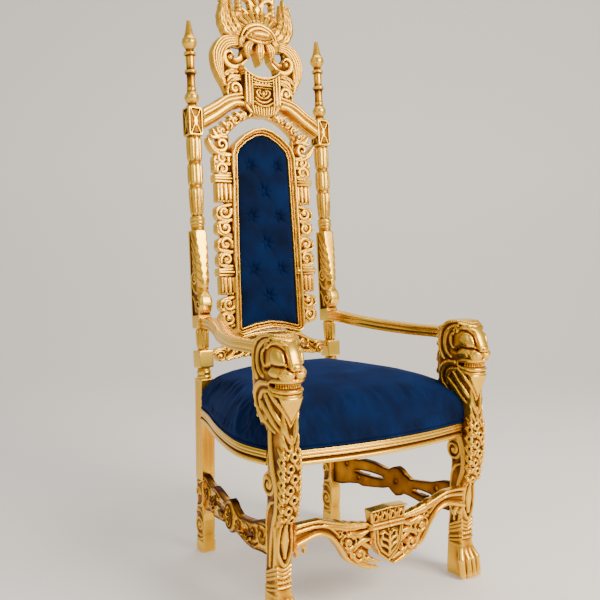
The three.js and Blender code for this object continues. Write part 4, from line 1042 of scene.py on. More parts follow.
def buildFrontStretcher():
    board = newBoard((0, 98), (303, 270), 1.8)
    # arched arm with a rolled rim over and under
    arm = [(294, 232), (258, 240), (216, 243), (176, 231), (140, 200)]
    carveBand(board, arm, [62, 52, 40, 34, 28], 14, drop=2)
    carveBand(board, [(300, 256), (262, 262), (216, 262), (172, 250), (138, 240)], [11, 11, 10, 9, 7], 24, drop=5)
    carveBand(board, [(300, 240), (260, 246), (218, 248), (180, 238), (152, 214)], [10, 10, 9, 8, 6], 20, drop=4, cut=False)
    carveBand(board, [(300, 206), (262, 218), (216, 228), (180, 216), (152, 186), (128, 150), (100, 128)], [13, 13, 12, 12, 12, 12, 8], 24, drop=5.5)
    carveBand(board, [(262, 214), (250, 200), (252, 188)], [12, 12, 4], 17, drop=4, rib=1.6)
    carveBand(board, [(282, 208), (272, 194), (276, 182)], [14, 13, 5], 17, drop=4, rib=1.6)
    # leaf that runs along the top to the cap
    carveBand(board, [(196, 246), (160, 240), (120, 228), (66, 222)], [10, 26, 26, 16], 21, drop=6, reeds=3, reedDepth=3.2, ruffles=5, ruffle=0.06)
    # scrolls and leaves beside the shield
    carveBand(board, volutePath((120, 186), 22, 3, 1.4, 80), [12, 11, 9, 6], 24, drop=5, rib=1.5)
    carveBoss(board, (120, 186), 6, 25, 5)
    carveBand(board, volutePath((86, 150), 20, 3, -1.3, 10), [11, 10, 8, 5], 24, drop=5, rib=1.5)
    carveBoss(board, (86, 150), 5.5, 25, 5)
    carveBand(board, [(60, 206), (84, 200), (104, 206), (116, 214)], [8, 16, 14, 4], 22, drop=5, rib=2)
    carveBand(board, [(56, 184), (74, 184), (94, 176), (104, 164)], [8, 16, 14, 4], 23, drop=5, rib=2)
    carveBand(board, [(52, 160), (62, 168), (78, 178), (86, 192)], [8, 13, 12, 4], 22, drop=5, rib=2)
    carveBand(board, [(116, 166), (106, 148), (88, 128), (58, 112), (28, 104)], [12, 16, 16, 15, 7], 22, drop=5, rib=2.2, ruffles=5, ruffle=0.07, vein=2)
    carveBand(board, [(100, 172), (118, 164), (128, 170)], [6, 11, 4], 20, drop=4, rib=1.6)
    carveBand(board, [(66, 138), (48, 128), (22, 118)], [12, 15, 6], 23, drop=5, rib=2)
    carveBand(board, [(60, 124), (74, 132), (96, 132), (110, 142)], [6, 12, 12, 4], 21, drop=4, rib=1.6)
    carveBand(board, [(132, 206), (142, 192), (140, 176)], [8, 12, 5], 20, drop=4, rib=1.6)
    # shield: double border, quartered field of leaf, and a flared cap with drops
    def shield(inset):
        right = [(0, 116 + inset * 1.5), (30 - inset * 0.6, 140 + inset), (46 - inset, 172), (50 - inset, 214 - inset * 0.4)]
        return right + [(-x, z) for x, z in right[:0:-1]]
    carvePlate(board, shield(0), 32, bevel=2.5)
    sink(board, shield(5), 28)
    carvePlate(board, shield(9), 33, bevel=2, cut=False)
    sink(board, shield(14), 29.5)
    for side in (-1, 1):
        carveBand(board, [(0, 150), (side * 12, 162), (side * 24, 168), (side * 28, 182)], [5, 8, 8, 3], 36, drop=4, rib=1.4, cut=False)
        carveBand(board, [(0, 168), (side * 10, 178), (side * 22, 184), (side * 22, 196)], [5, 8, 8, 3], 36, drop=4, rib=1.4, cut=False)
        carveBand(board, [(side * 4, 190), (side * 14, 198), (side * 28, 196)], [4, 6, 3], 35, drop=3, cut=False)
    carveBand(board, [(0, 142), (0, 170), (0, 200)], [6, 9, 4], 38, drop=5, rib=1.2, cut=False)
    carvePlate(board, [(0, 208), (51, 208), (53, 216), (60, 256), (60, 261), (0, 264)], 28, bevel=2)
    carveBand(board, [(-60, 259), (0, 262), (60, 259)], 7, 35, drop=4, cut=False)
    carveBand(board, [(-53, 223), (0, 223), (53, 223)], 6, 34, drop=3.5, cut=False)
    carveBand(board, [(-51, 213), (0, 213), (51, 213)], 7, 36, drop=3.5, cut=False)
    # drops pierced through the cap, alternately low and high
    for i, x in enumerate(np.linspace(-42, 42, 7)):
        z = 247 if i % 2 else 236
        drop = [(x + r * math.cos(a), z + r * 1.2 * math.sin(a)) for a, r in zip(np.linspace(-math.pi * 1.25, math.pi * 0.25, 8), [3.6] * 8)] + [(x, z + 9)]
        carveBand(board, [(x - 7, z - 2), (x - 5, z + 5), (x, z + 12)], [4, 5, 3], 31.5, drop=3, cut=False)
        carveBand(board, [(x + 7, z - 2), (x + 5, z + 5), (x, z + 12)], [4, 5, 3], 31.5, drop=3, cut=False)
        sink(board, drop, 20, slope=3)
    for x, z, r in ((144, 212, 4), (104, 220, 3.4), (72, 150, 3), (46, 134, 3.5)):
        pierce(board, [(x + r * math.cos(a), z + r * math.sin(a)) for a in np.linspace(0, 2 * math.pi, 13)[:-1]])
    carvePlate(board, [(48, 128), (110, 150), (136, 196), (120, 226), (48, 224)], 9)
    for hole in ([(128, 204), (134, 190), (128, 176), (136, 184), (142, 198)], [(104, 196), (100, 186), (108, 176), (110, 190)], [(64, 148), (60, 138), (70, 142)], [(74, 166), (66, 158), (76, 160)]):
        pierce(board, hole)
    legFace = np.interp(board["w"], [98, 134, 262, 270], [281, 279, 279, 278])
    board["edge"] = np.maximum(board["edge"], board["u"] - legFace - 2)
    board["edge"] = np.maximum(board["edge"], board["w"] - 266.5)
    return board


def finishFrontStretcher():
    board = buildFrontStretcher()
    # the board's rise is measured from the back face here
    board["rise"] -= 24 - 11.5
    verts, quads = boardMesh(board, 11.5, 27)
    verts = verts + np.array([0, stretcher["backY"] - 11.5, 0])
    mesh = makeMesh("frontStretcher", verts, triangulated(quads), stretcher["frontTriangles"])
    addPiece("frontStretcher", mesh, gold, "gilded_wood", "stretcher_front")


sideStations = [
    (246, 242, 140), (200, 242, 140), (165, 236, 150), (128, 236, 156), (110, 242, 152), (70, 241, 158),
    (25, 234, 166), (0, 234, 174), (-14, 243, 164), (-31, 249, 155), (-48, 244, 160), (-64, 232, 170),
    (-90, 222, 168), (-130, 227, 162), (-170, 234, 160), (-215, 250, 167), (-262, 258, 171),
]


def buildSideStretcher():
    # carved flat with u running from the post (negative) to the leg, then bent to its plan line
    board = newBoard((-232, 136), (262, 262), 1.8)
    rows = np.array(sideStations, float)[::-1]
    top = np.interp(-board["u"], rows[:, 0], rows[:, 1])
    low = np.interp(-board["u"], rows[:, 0], rows[:, 2])
    outline = np.maximum(board["w"] - top, low - board["w"])
    board["edge"] = outline
    board["rise"][:] = 5
    tops = [(-y, t - 5) for y, t, _ in sideStations]
    lows = [(-y, b + 5) for y, _, b in sideStations]
    carveBand(board, tops, 9, 11, drop=4, cut=False)
    carveBand(board, lows, 9, 11, drop=4, cut=False)
    # leaf scrolls that run from the post to the leg and end in an open volute
    for eye, radius, spin, start in (((-196, 196), 24, 1, 180), ((-150, 190), 18, -1, 0), ((-104, 206), 19, 1, 180), ((-44, 192), 18, -1, 0), ((90, 200), 17, 1, 180), ((132, 188), 16, -1, 0), ((176, 206), 20, 1, 180), ((222, 212), 24, -1, 10)):
        carveBand(board, volutePath(eye, radius, 3, 1.3 * spin, start), [9, 9, 8, 5], 13, drop=4.5, rib=1.4, cut=False)
        carveBoss(board, eye, 5, 14, 4, cut=False)
    for a, b, c in (((-222, 224), (-196, 226), (-172, 216)), ((-172, 172), (-140, 168), (-118, 180)), ((-128, 226), (-100, 230), (-74, 220)), ((-74, 184), (-50, 170), (-26, 180)), ((-26, 222), (-4, 222), (14, 212)), ((60, 186), (84, 176), (108, 180)), ((112, 214), (134, 218), (154, 210)), ((150, 172), (178, 172), (198, 184)), ((194, 234), (218, 242), (244, 238))):
        carveBand(board, [a, b, c], [5, 13, 4], 12, drop=4.5, rib=1.8, cut=False)
    # medallion on the widest part
    carveBoss(board, (31, 202), (34, 40), 12, 3, cut=False)
    carveBand(board, [(31 + 25 * math.cos(a), 202 + 31 * math.sin(a)) for a in np.linspace(0, 2 * math.pi, 17)], 8, 18.5, drop=4, cut=False)
    for k in range(8):
        a = math.pi * k / 4
        carveBand(board, [(31 + 8 * math.cos(a), 202 + 9 * math.sin(a)), (31 + 20 * math.cos(a), 202 + 25 * math.sin(a))], [5, 9, 3], 17, drop=4, rib=1.4, cut=False)
    for y, z, long, tall in ((82, 198, 60, 6.5), (-142, 192, 42, 6.5)):
        pierce(board, [(-y + long * math.cos(a), z + 0.02 * long * math.cos(a) + tall * math.sin(a)) for a in np.linspace(0, 2 * math.pi, 21)[:-1]])
    for x, z, r in ((-176, 214, 4), (-124, 178, 4), (200, 222, 5), (160, 182, 4), (244, 226, 4), (31, 202, 4)):
        pierce(board, [(x + r * math.cos(a), z + r * 1.3 * math.sin(a)) for a in np.linspace(0, 2 * math.pi, 13)[:-1]])
    verts, quads = boardMesh(board, 11.5, 19, mirror=False)
    y = -verts[:, 0]
    t = (stretcher["postY"] - y) / (stretcher["postY"] + 300)
    line = stretcher["postX"] + (stretcher["legX"] - stretcher["postX"]) * t + stretcher["bow"] * 4 * t * (1 - t)
    bent = np.stack([line - verts[:, 1], y, verts[:, 2]], 1)
    return makeMesh("sideStretcher", bent, triangulated(quads), stretcher["sideTriangles"])

# ---- front legs with lions' heads ----

leg = {
    "x": 305,
    "step": 1.8,
    "triangles": 105000,
    # height, front, back, half-width of the plain leg
    "sections": [
        (-4, -330, -262, 25), (14, -334, -261, 26), (44, -334, -261, 26), (84, -321, -261, 24.5), (120, -317, -261, 24),
        (146, -317, -261, 24), (200, -318, -265, 24.5), (262, -322, -268, 26), (286, -340, -270, 27), (350, -351, -273, 28),
        (410, -354, -275, 28), (470, -348, -276, 27), (545, -338, -262, 24),
    ],
    "scroll": (-284, 362, 30.5),
}


def reliefOn(board, key, us, ws):
    def weights(values, axis):
        at = np.clip((values - axis[0]) / board["step"], 0, len(axis) - 1.001)
        whole = at.astype(int)
        return whole, at - whole
    row, rowPart = weights(us, board["us"])
    column, columnPart = weights(ws, board["ws"])
    grid = board[key]
    rows = grid[row] * (1 - rowPart[:, None]) + grid[row + 1] * rowPart[:, None]
    return rows[:, column] * (1 - columnPart) + rows[:, column + 1] * columnPart


def ellipsoid(x, y, z, middle, size, tilt=0.0):
    # tilt leans the ellipsoid about the x axis, in degrees
    c, s = math.cos(math.radians(tilt)), math.sin(math.radians(tilt))
    dy, dz = y - middle[1], z - middle[2]
    ey, ez = dy * c + dz * s, -dy * s + dz * c
    k = np.sqrt(((x - middle[0]) / size[0]) ** 2 + (ey / size[1]) ** 2 + (ez / size[2]) ** 2)
    return (k - 1) * min(size)


def rod(x, y, z, a, b, ra, rb):
    a, b = np.array(a, float), np.array(b, float)
    d = b - a
    t = np.clip(((x - a[0]) * d[0] + (y - a[1]) * d[1] + (z - a[2]) * d[2]) / (d @ d), 0, 1)
    return np.sqrt((x - a[0] - t * d[0]) ** 2 + (y - a[1] - t * d[1]) ** 2 + (z - a[2] - t * d[2]) ** 2) - (ra + (rb - ra) * t)


def chain(x, y, z, marks, radii):
    # a rod bent through several points
    field = rod(x, y, z, marks[0], marks[1], radii[0], radii[1])
    for k in range(1, len(marks) - 1):
        field = np.minimum(field, rod(x, y, z, marks[k], marks[k + 1], radii[k], radii[k + 1]))
    return field


def legSideBoard():
    board = newBoard((-366, -4), (-236, 600), 1.6)
    board["rise"][:] = -1.8
    # smooth S from the seat to the shin, running past the scroll
    carveBand(board, [(-296, 560), (-290, 500), (-294, 450), (-306, 400), (-322, 352), (-320, 308), (-304, 264), (-292, 215), (-287, 160)], [20, 22, 24, 24, 21, 17, 14, 11, 6], 2.4, drop=4, cut=False, slope=0.9)
    carveBand(board, [(-272, 540), (-268, 480), (-274, 430), (-292, 396)], [12, 14, 12, 5], 1.4, drop=3.5, cut=False, slope=0.9)
    carveBand(board, [(-252, 530), (-250, 470), (-256, 420), (-270, 398)], [10, 12, 10, 4], 0.6, drop=3, cut=False, slope=0.9)
    carveBand(board, [(-312, 326), (-292, 314), (-276, 288), (-270, 248), (-270, 190)], [6, 10, 11, 9, 6], 1.4, drop=3.5, cut=False, slope=0.9)
    # leaf tips that lap over the front half, scalloped, with drilled hollows between
    for i, z in enumerate(np.arange(276, 462, 27.0)):
        carveBand(board, [(-330, z + 20), (-342, z + 10), (-354, z - 6)], [6, 13, 8], 2.4, drop=4, rib=1.2, cut=False, slope=1.2)
        carveBoss(board, (-350, z + 14), 6.5, 1.6, 5, cut=False)
        carveBoss(board, (-337, z - 3), 5.5, 1.2, 4, cut=False)
    for z, y in ((292, -341), (319, -343), (346, -346), (373, -345), (400, -343), (427, -345)):
        carveHollow(board, (y, z + 2), 3.6, 8)
    # shin: a long framed drop on the side, then rising leaf lines over the paw
    carveBand(board, [(-311, 262), (-312, 220), (-309, 180), (-305, 158)], [9, 12, 11, 6], 2.2, drop=3.5, cut=False, slope=0.9)
    for lift in (0, 11, 22):
        carveBand(board, [(-262, 118 + lift * 0.8), (-286, 126 + lift), (-322, 144 + lift)], [6, 8, 8], 1, drop=3, cut=False, slope=1)
    carveBeads(board, [(-264, 104), (-290, 112), (-326, 126)], 9, 4.4, 2.2, cut=False)
    carveBand(board, [(-258, 93), (-290, 101), (-330, 115)], [6, 6, 6], 2, drop=2.5, cut=False, slope=1)
    carvePlate(board, [(-366, -4), (-236, -4), (-236, 88), (-300, 92), (-366, 108)], 0.2, bevel=1, cut=False)
    return board


def carveHollow(board, middle, radius, depth):
    window = windowOf(board, np.array([middle], float), radius + 4)
    away = np.hypot(board["u"][window] - middle[0], board["w"][window] - middle[1]) / radius
    board["rise"][window] -= depth * np.exp(-away ** 4 * 0.9)


def legFrontBoard():
    board = newBoard((-34, -4), (34, 600), 1.6)
    board["rise"][:] = -1.5
    # lens-shaped leaves under the beard, then lines that cross into the column
    for side in (-1, 1):
        carveBand(board, [(side * 24, 548), (side * 19, 515), (side * 5, 474)], [11, 19, 6], 6, drop=5.5, rib=1, cut=False, slope=1.4)
        carveBand(board, [(side * 31, 512), (side * 25, 486), (side * 9, 452)], [10, 14, 5], 3.5, drop=4.5, rib=1, cut=False, slope=1.4)
    carveBand(board, [(0, 488), (0, 462), (0, 446)], [7, 12, 4], 4, drop=4, rib=1, cut=False, slope=1.4)
    # a winding column of drilled berries between scalloped edges
    tiers = list(np.arange(282, 446, 26.0))
    for i, z in enumerate(tiers):
        swing = 6 if i % 2 else -6
        carveBoss(board, (swing, z), 12.5, 6.5, 6.5, cut=False)
        carveBand(board, [(-swing * 0.3, z + 20), (-swing * 1.6, z + 12), (-swing * 2.4, z - 2)], [7, 13, 6], 5, drop=5, rib=1.2, cut=False, slope=1.4)
        for side in (-1, 1):
            carveBoss(board, (side * 24, z + 2), 7.0, 4.5, 5, cut=False)
            carveBoss(board, (side * 25, z + 15), 6.0, 3.5, 4.5, cut=False)
    for i, z in enumerate(tiers):
        swing = 6 if i % 2 else -6
        carveHollow(board, (swing, z + 1), 4.6, 11)
        carveHollow(board, (-swing * 2.0, z + 13), 3.2, 7)
    # framed drop on the shin
    carveBand(board, [(-14, 268), (-19, 232), (-18, 198), (0, 166), (18, 198), (19, 232), (14, 268)], [5, 7, 8, 9, 8, 7, 5], 5, drop=4, cut=False, slope=1.2)
    carveBand(board, [(0, 264), (0, 226), (0, 186)], [10, 22, 8], 5.5, drop=5, cut=False, slope=1.2)
    for lift in (0, 10, 20):
        carveBand(board, [(-32, 146 + lift), (-16, 140 + lift), (0, 135 + lift), (16, 140 + lift), (32, 146 + lift)], 8, 2, drop=3.5, cut=False, slope=1.2)
    carveBeads(board, [(-28, 127), (0, 125), (28, 127)], 8, 4.6, 4.5, cut=False)
    carveBand(board, [(-32, 115), (0, 112), (32, 115)], 6, 3.6, drop=3, cut=False, slope=1.4)
    return board


def maneBoard():
    # the locks at the back, seen from the side; their rise is half their thickness
    board = newBoard((-300, 470), (-198, 738), 1.6)
    core = [(-296, 726), (-262, 720), (-236, 706), (-222, 684), (-217, 650), (-215, 600), (-221, 560), (-236, 530), (-256, 506), (-286, 506)]
    carvePlate(board, core, 33, bevel=5)
    locks = [
        ([(-246, 706), (-230, 702), (-219, 694)], [16, 20, 15]), ([(-244, 686), (-228, 683), (-215, 676)], [16, 20, 16]),
        ([(-240, 664), (-228, 663), (-214, 655)], [18, 21, 17]), ([(-248, 636), (-228, 630), (-216, 610)], [20, 28, 23]),
        ([(-250, 600), (-230, 592), (-215, 576)], [20, 28, 23]), ([(-256, 570), (-236, 560), (-220, 546)], [20, 27, 21]),
        ([(-266, 546), (-246, 536), (-230, 521)], [20, 26, 18]), ([(-280, 526), (-260, 514), (-244, 500)], [18, 24, 15]),
    ]
    for i, (marks, widths) in enumerate(locks):
        carveBand(board, marks, widths, [40 - i * 0.9, 38 - i * 0.9, 32 - i * 0.9], drop=6, reeds=2, reedDepth=1.8, slope=1.2)
    return board


head = {
    "middle": -300,  # depth where the face turns into the side
    "turn": 88,  # distance round the face from the nose to the side
    "power": 2.6,
    # height, front, half-width, back
    "sections": [
        (494, -340, 25.5, -266), (520, -341, 31, -250), (545, -344, 35, -240), (570, -349, 38, -234), (590, -354, 40, -230), (610, -358, 41, -230),
        (640, -364, 41.5, -230), (660, -362, 41.5, -230), (690, -353, 41, -232), (710, -343, 39, -240), (724, -330, 36, -252), (736, -312, 30, -270),
    ],
}


def carveGroove(board, marks, widths, depth):
    path = splinePoints(marks, 10 * len(marks))
    window = windowOf(board, path, max(np.atleast_1d(widths)) + 4)
    away, side, t = nearestOn(path, board["u"][window], board["w"][window])
    board["rise"][window] -= along(depth, t) * np.exp(-1.2 * (2 * away / along(widths, t)) ** 2)


def faceBoard():
    # the relief of one side of the head: distance round from the nose, and height
    board = newBoard((-8, 490), (164, 738), 1.5)
    board["rise"][:] = -1.2
    # long broad nose
    carveBand(board, [(0, 722), (0, 700), (0, 680), (0, 662)], [52, 44, 42, 42], [0, 5, 8, 11], drop=4, cut=False, slope=1.0)
    carveBoss(board, (0, 655), (22, 10), 14, 6, cut=False)
    # almond swelling of the eye under a rolled brow
    carveBoss(board, (49, 677), (24, 21), 4.5, 5, cut=False)
    carveBand(board, [(16, 705), (36, 712), (60, 711), (84, 700)], [8, 11, 11, 7], [3, 3.5, 3.5, 2], drop=3.5, cut=False, slope=1.2)
    # whisker pads, and the lips that run round the jaw
    carveBoss(board, (26, 638), (25, 15), 10, 8, cut=False)
    carveBoss(board, (58, 641), (24, 12), 5.5, 6, cut=False)
    carveBand(board, [(0, 622), (30, 621), (60, 619), (82, 612)], [12, 12, 12, 8], [7.5, 6.5, 4.5, 2], drop=3.5, cut=False, slope=0.9)
    carveBand(board, [(0, 596), (30, 596), (60, 599), (80, 606)], [13, 13, 12, 8], [8.5, 7, 4.5, 2], drop=4, cut=False, slope=0.9)
    carveBand(board, [(0, 585), (30, 585), (58, 589), (76, 598)], [8, 8, 8, 5], [7, 5.5, 3, 1], drop=3, cut=False, slope=1.2)
    # beard: a smooth shield that runs to a point, rimmed, with leaves sweeping past it
    carvePlate(board, [(-44, 583), (44, 583), (37, 567), (24, 548), (0, 521), (-24, 548), (-37, 567)], 8.5, bevel=4, cut=False)
    sweeps = [
        ([(78, 596), (56, 574), (30, 548), (2, 512)], [9, 11, 11, 8], 5.5), ([(94, 582), (78, 560), (54, 534), (24, 502)], [10, 15, 15, 9], 5),
        ([(118, 562), (100, 543), (74, 519), (44, 496)], [12, 17, 16, 9], 4.2), ([(140, 546), (122, 524), (98, 506), (72, 494)], [10, 16, 14, 8], 3.4),
    ]
    for marks, widths, top in sweeps:
        carveBand(board, marks, widths, top, drop=4, rib=1.4, cut=False, slope=1.3)
    # C-shaped ridges behind the cheek and under the jaw
    ridges = [
        ([(84, 729), (122, 722), (146, 704), (154, 672), (149, 642), (134, 620)], [9, 14, 15, 15, 14, 9], 4.5),
        ([(78, 716), (104, 710), (123, 694), (129, 668), (123, 642), (106, 627)], [8, 12, 13, 13, 12, 7], 4.5),
        ([(96, 694), (106, 684), (106, 668), (98, 654)], [7, 10, 10, 6], 4),
        ([(90, 612), (118, 608), (140, 592), (148, 568), (140, 544)], [11, 15, 16, 14, 8], 4.5),
        ([(86, 594), (108, 588), (122, 570), (122, 548)], [9, 13, 13, 7], 4),
    ]
    for marks, widths, top in ridges:
        carveBand(board, marks, widths, top, drop=4, cut=False, slope=1.2)
    # ear, and short curls over the forehead
    carveBoss(board, (87, 702), (10, 8), 6, 5, cut=False)
    carveBand(board, [(0, 717), (40, 719), (76, 722)], 5, 4.5, drop=2.5, cut=False, slope=1.4)
    carveBeads(board, [(0, 728), (40, 729), (80, 733)], 9, 6, 4.5, cut=False)
    grooves = [
        ([(23, 653), (25, 672), (30, 690), (44, 700), (66, 702), (80, 696)], [8, 9, 8, 7, 6, 5], [6, 8, 7, 5, 3.5, 2]),
        ([(22, 652), (44, 656), (74, 656)], [6, 7, 6], [5, 5, 3]),
        ([(0, 645), (14, 646), (24, 652)], [5, 6, 6], [6, 6, 5]),
        ([(0, 645), (0, 634), (0, 626)], [5, 5, 4], [7, 6, 3]),
        ([(10, 656), (13, 652)], [5, 5], [4, 4]),
        ([(72, 655), (84, 648), (96, 646)], [10, 13, 10], [4, 8, 4]),
        ([(0, 590), (30, 590), (58, 593)], [4, 4, 4], [3, 3, 2]),
        ([(0, 608.5), (30, 608.5), (60, 609), (74, 610)], [12, 12, 12, 9], [17, 16, 14, 12]),
    ]
    for marks, widths, depth in grooves:
        carveGroove(board, marks, widths, depth)
    carveHollow(board, (87, 702), 4.2, 5)
    for i in range(3):
        for j in range(3):
            carveHollow(board, (30 + j * 9 + i * 3, 632 + i * 5.5), 1.7, 2.2)
    # small round teeth in two rows
    for i in range(8):
        for height, radius in ((605.6, 3.5), (612.4, 3.2)):
            carveBoss(board, (3.7 + 7.4 * i, height), radius, 1.5 - i * 0.5, 3.5, cut=False)
    return board


def sampled(board, key, u, w):
    # the board's values at scattered places
    step = board["step"]
    a = np.clip((u - board["us"][0]) / step, 0, len(board["us"]) - 1.001)
    b = np.clip((w - board["ws"][0]) / step, 0, len(board["ws"]) - 1.001)
    i, j = a.astype(np.int32), b.astype(np.int32)
    a, b = a - i, b - j
    grid = board[key]
    return (grid[i, j] * (1 - a) + grid[i + 1, j] * a) * (1 - b) + (grid[i, j + 1] * (1 - a) + grid[i + 1, j + 1] * a) * b


def headField(x, y, z):
    x, y, z = np.broadcast_arrays(x, y, z)
    rows = np.array(head["sections"], float)
    front, half, rear = (np.interp(z, rows[:, 0], rows[:, k]) for k in (1, 2, 3))
    middle, power = head["middle"], head["power"]
    across, ahead = np.abs(x) / half, np.maximum(middle - y, 0) / (middle - front)
    angle = np.arctan2(across, ahead)
    scale = (middle - front) * np.cos(angle) ** 2 + half * np.sin(angle) ** 2
    field = ((across ** power + ahead ** power) ** (1 / power) - 1) * scale
    around = angle / (math.pi / 2) * head["turn"] + np.maximum(y - middle, 0)
    field = field - sampled(faceBoard(), "rise", around, z)
    field = softMax(field, y - rear, 5)
    return np.maximum(softMax(field, z - 731, 5), 493 - z)


def buildLeg():
    low, high, step = (-47, -384, -4), (47, -203, 732), leg["step"]
    x, y, z = fieldGrid(low, high, step)
    ys, zs = y.ravel(), z.ravel()
    rows = np.array(leg["sections"], float)
    front, rear, half = (np.interp(z, rows[:, 0], rows[:, k]) for k in (1, 2, 3))
    sides, fronts = legSideBoard(), legFrontBoard()
    sideRise = reliefOn(sides, "rise", ys, zs)[None]
    frontRise = reliefOn(fronts, "rise", x.ravel(), zs)[:, None, :]
    shaft = softMax(np.abs(x) - half - sideRise, softMax(front - y - frontRise, y - rear, 2), 4.5)
    shaft = softMax(shaft, np.maximum(z - 560, -60.0), 1.5)
    # paw: four toes with round knuckles and a claw on each
    for place in (7, 20.5):
        splay = 1 + 0.02 * place
        toe = rod(np.abs(x), y, z, (place * 0.95, -312, 80), (place * splay, -329 + place * 0.2, 52), 7.5, 9.2)
        toe = softMin(toe, rod(np.abs(x), y, z, (place * splay, -329 + place * 0.2, 52), (place * splay, -337 + place * 0.25, 13), 8.6, 9.0), 2)
        toe = softMin(toe, rod(np.abs(x), y, z, (place * splay, -342 + place * 0.25, 20), (place * splay, -347 + place * 0.3, 5), 3.0, 1.8), 1)
        shaft = softMin(shaft, toe, 2.0)
    scrollY, scrollZ, radius = leg["scroll"]
    scrollBoard = newBoard((-324, 322), (-244, 402), 1.6)
    scrollBoard["rise"][:] = -4
    carveBand(scrollBoard, volutePath((scrollY, scrollZ), radius + 2, 5, 1.7, 100), [11, 11, 10, 7], 0, drop=4.5, cut=False, slope=1.2)
    carveBoss(scrollBoard, (scrollY, scrollZ), 7, 0.8, 4, cut=False)
    scrollRise = reliefOn(scrollBoard, "rise", ys, zs)[None]
    disc = softMax(np.hypot(y - scrollY, z - scrollZ) - radius, np.abs(x) - 29.5 - scrollRise, 2)
    field = np.minimum(shaft, disc)
    mane = maneBoard()
    maneRise = reliefOn(mane, "rise", ys, zs)[None]
    maneEdge = reliefOn(mane, "edge", ys, zs)[None]
    plate = softMax(np.abs(x) - maneRise, np.clip(maneEdge, -8, 8), 4)
    field = softMin(field, plate, 1.5)
    top = int((490 - low[2]) / step)
    field[:, :, top:] = softMin(field[:, :, top:], headField(x, y, z[:, :, top:]), 2)
    field = np.maximum(field, -z)
    mesh = netMesh("leg", field, low, step, leg["triangles"])
    mesh.transform(Matrix.Translation((leg["x"] / 1000, 0, 0)))
    return mesh

# ---- arms ----

arm = {
    "line": [(229, 245, 717), (234, 190, 716), (250, 120, 708), (282, 30, 700), (304, -70, 697), (307, -150, 699), (306, -236, 702)],
    "half": 24,
    "thick": 31,
}


def sweep(name, line, section, count):
    # section points are (across, up) from the line; across points to the left of the way forward
    path = splinePoints(line, count)
    ahead = np.gradient(path, axis=0)
    across = np.stack([-ahead[:, 1], ahead[:, 0], np.zeros(count)], 1)
    across /= np.linalg.norm(across, axis=1)[:, None]
    section = np.array(section, float)
    verts = path[:, None, :] + across[:, None, :] * section[None, :, 0, None]
    verts[:, :, 2] += section[:, 1]
    n = len(section)
    verts = verts.reshape(-1, 3)
    i = np.arange(n)
    j = (i + 1) % n
    faces = [triangulated(np.stack([r * n + i, r * n + j, (r + 1) * n + j, (r + 1) * n + i], 1)) for r in range(count - 1)]
    last = (count - 1) * n
    verts = np.vstack([verts, verts[:n].mean(0), verts[last:last + n].mean(0)])
    faces += [np.stack([j, i, np.full(n, len(verts) - 2)], 1), np.stack([last + i, last + j, np.full(n, len(verts) - 1)], 1)]
    faces = np.concatenate(faces)
    a, b, c = verts[faces[:, 0]], verts[faces[:, 1]], verts[faces[:, 2]]
    if np.sum(a * np.cross(b, c)) < 0:  # turned inside out
        faces = faces[:, ::-1]
    return makeMesh(name, verts, faces)


def buildArm():
    w, t = arm["half"], arm["thick"]
    top = [(w - 0.4, -7), (w - 1.2, -3.4), (w - 4, -0.9), (w - 8, 0.9), (w * 0.4, 2.4), (0, 2.9), (-w * 0.4, 2.4), (-w + 8, 0.9), (-w + 4, -0.9), (-w + 1.2, -3.4), (-w + 0.4, -7)]
    left = [(-w + 3, -8.4), (-w + 3, -10), (-w + 0.6, -11.4), (-w + 0.2, -16), (-w + 1, -20), (-w + 4, -22), (-w + 4, -24), (-w + 1.4, -25.6), (-w + 1.4, -t + 2), (-w + 3, -t + 0.4)]
    under = [(-w * 0.5, -t), (0, -t), (w * 0.5, -t)]
    right = [(-a, b) for a, b in left[::-1]]
    section = left + under + right + top[:1] + top[1:]
    return sweep("arm", arm["line"], section, 72)


# ---- seat rails ----

rail = {
    "side": [(262, 236), (282, 150), (318, 30), (344, -80), (355, -160), (350, -220), (332, -282)],
    "front": [(304, -318), (230, -330), (120, -346), (0, -352)],
    "joint": 275.5,  # where the rails meet the legs
    "low": 405,
    "high": 443,
    "wide": 43,
}


def railSection():
    # inward from the outer line, and up: a round, a hollow, two more rounds and a bead along the top edge
    low, high, wide = rail["low"], rail["high"], rail["wide"]
    face = [(5.0, 0), (2.4, 0.6), (0.6, 2.4), (0.1, 5), (0.3, 8), (1.4, 10), (4.4, 11), (6.6, 12.6), (7.0, 15), (6.0, 17.4), (3.4, 18.4)]
    face += [(1.4, 19.4), (0.5, 21.4), (1.2, 23.6), (4.2, 24.6), (4.4, 25.4), (1.8, 26.2), (0.6, 28), (0.3, 30.4), (1.2, 32.4), (4.0, 33.4), (4.8, 34.2), (3.8, 35.2), (3.4, 36.6), (4.4, 37.7), (6.4, 38)]
    return [(wide, low)] + [(s, low + up) for s, up in face] + [(wide, high)]


def clipped(line, axis, low, high):
    path = splinePoints(line, 220)
    keep = (path[:, axis] >= low) & (path[:, axis] <= high)
    return path[keep]


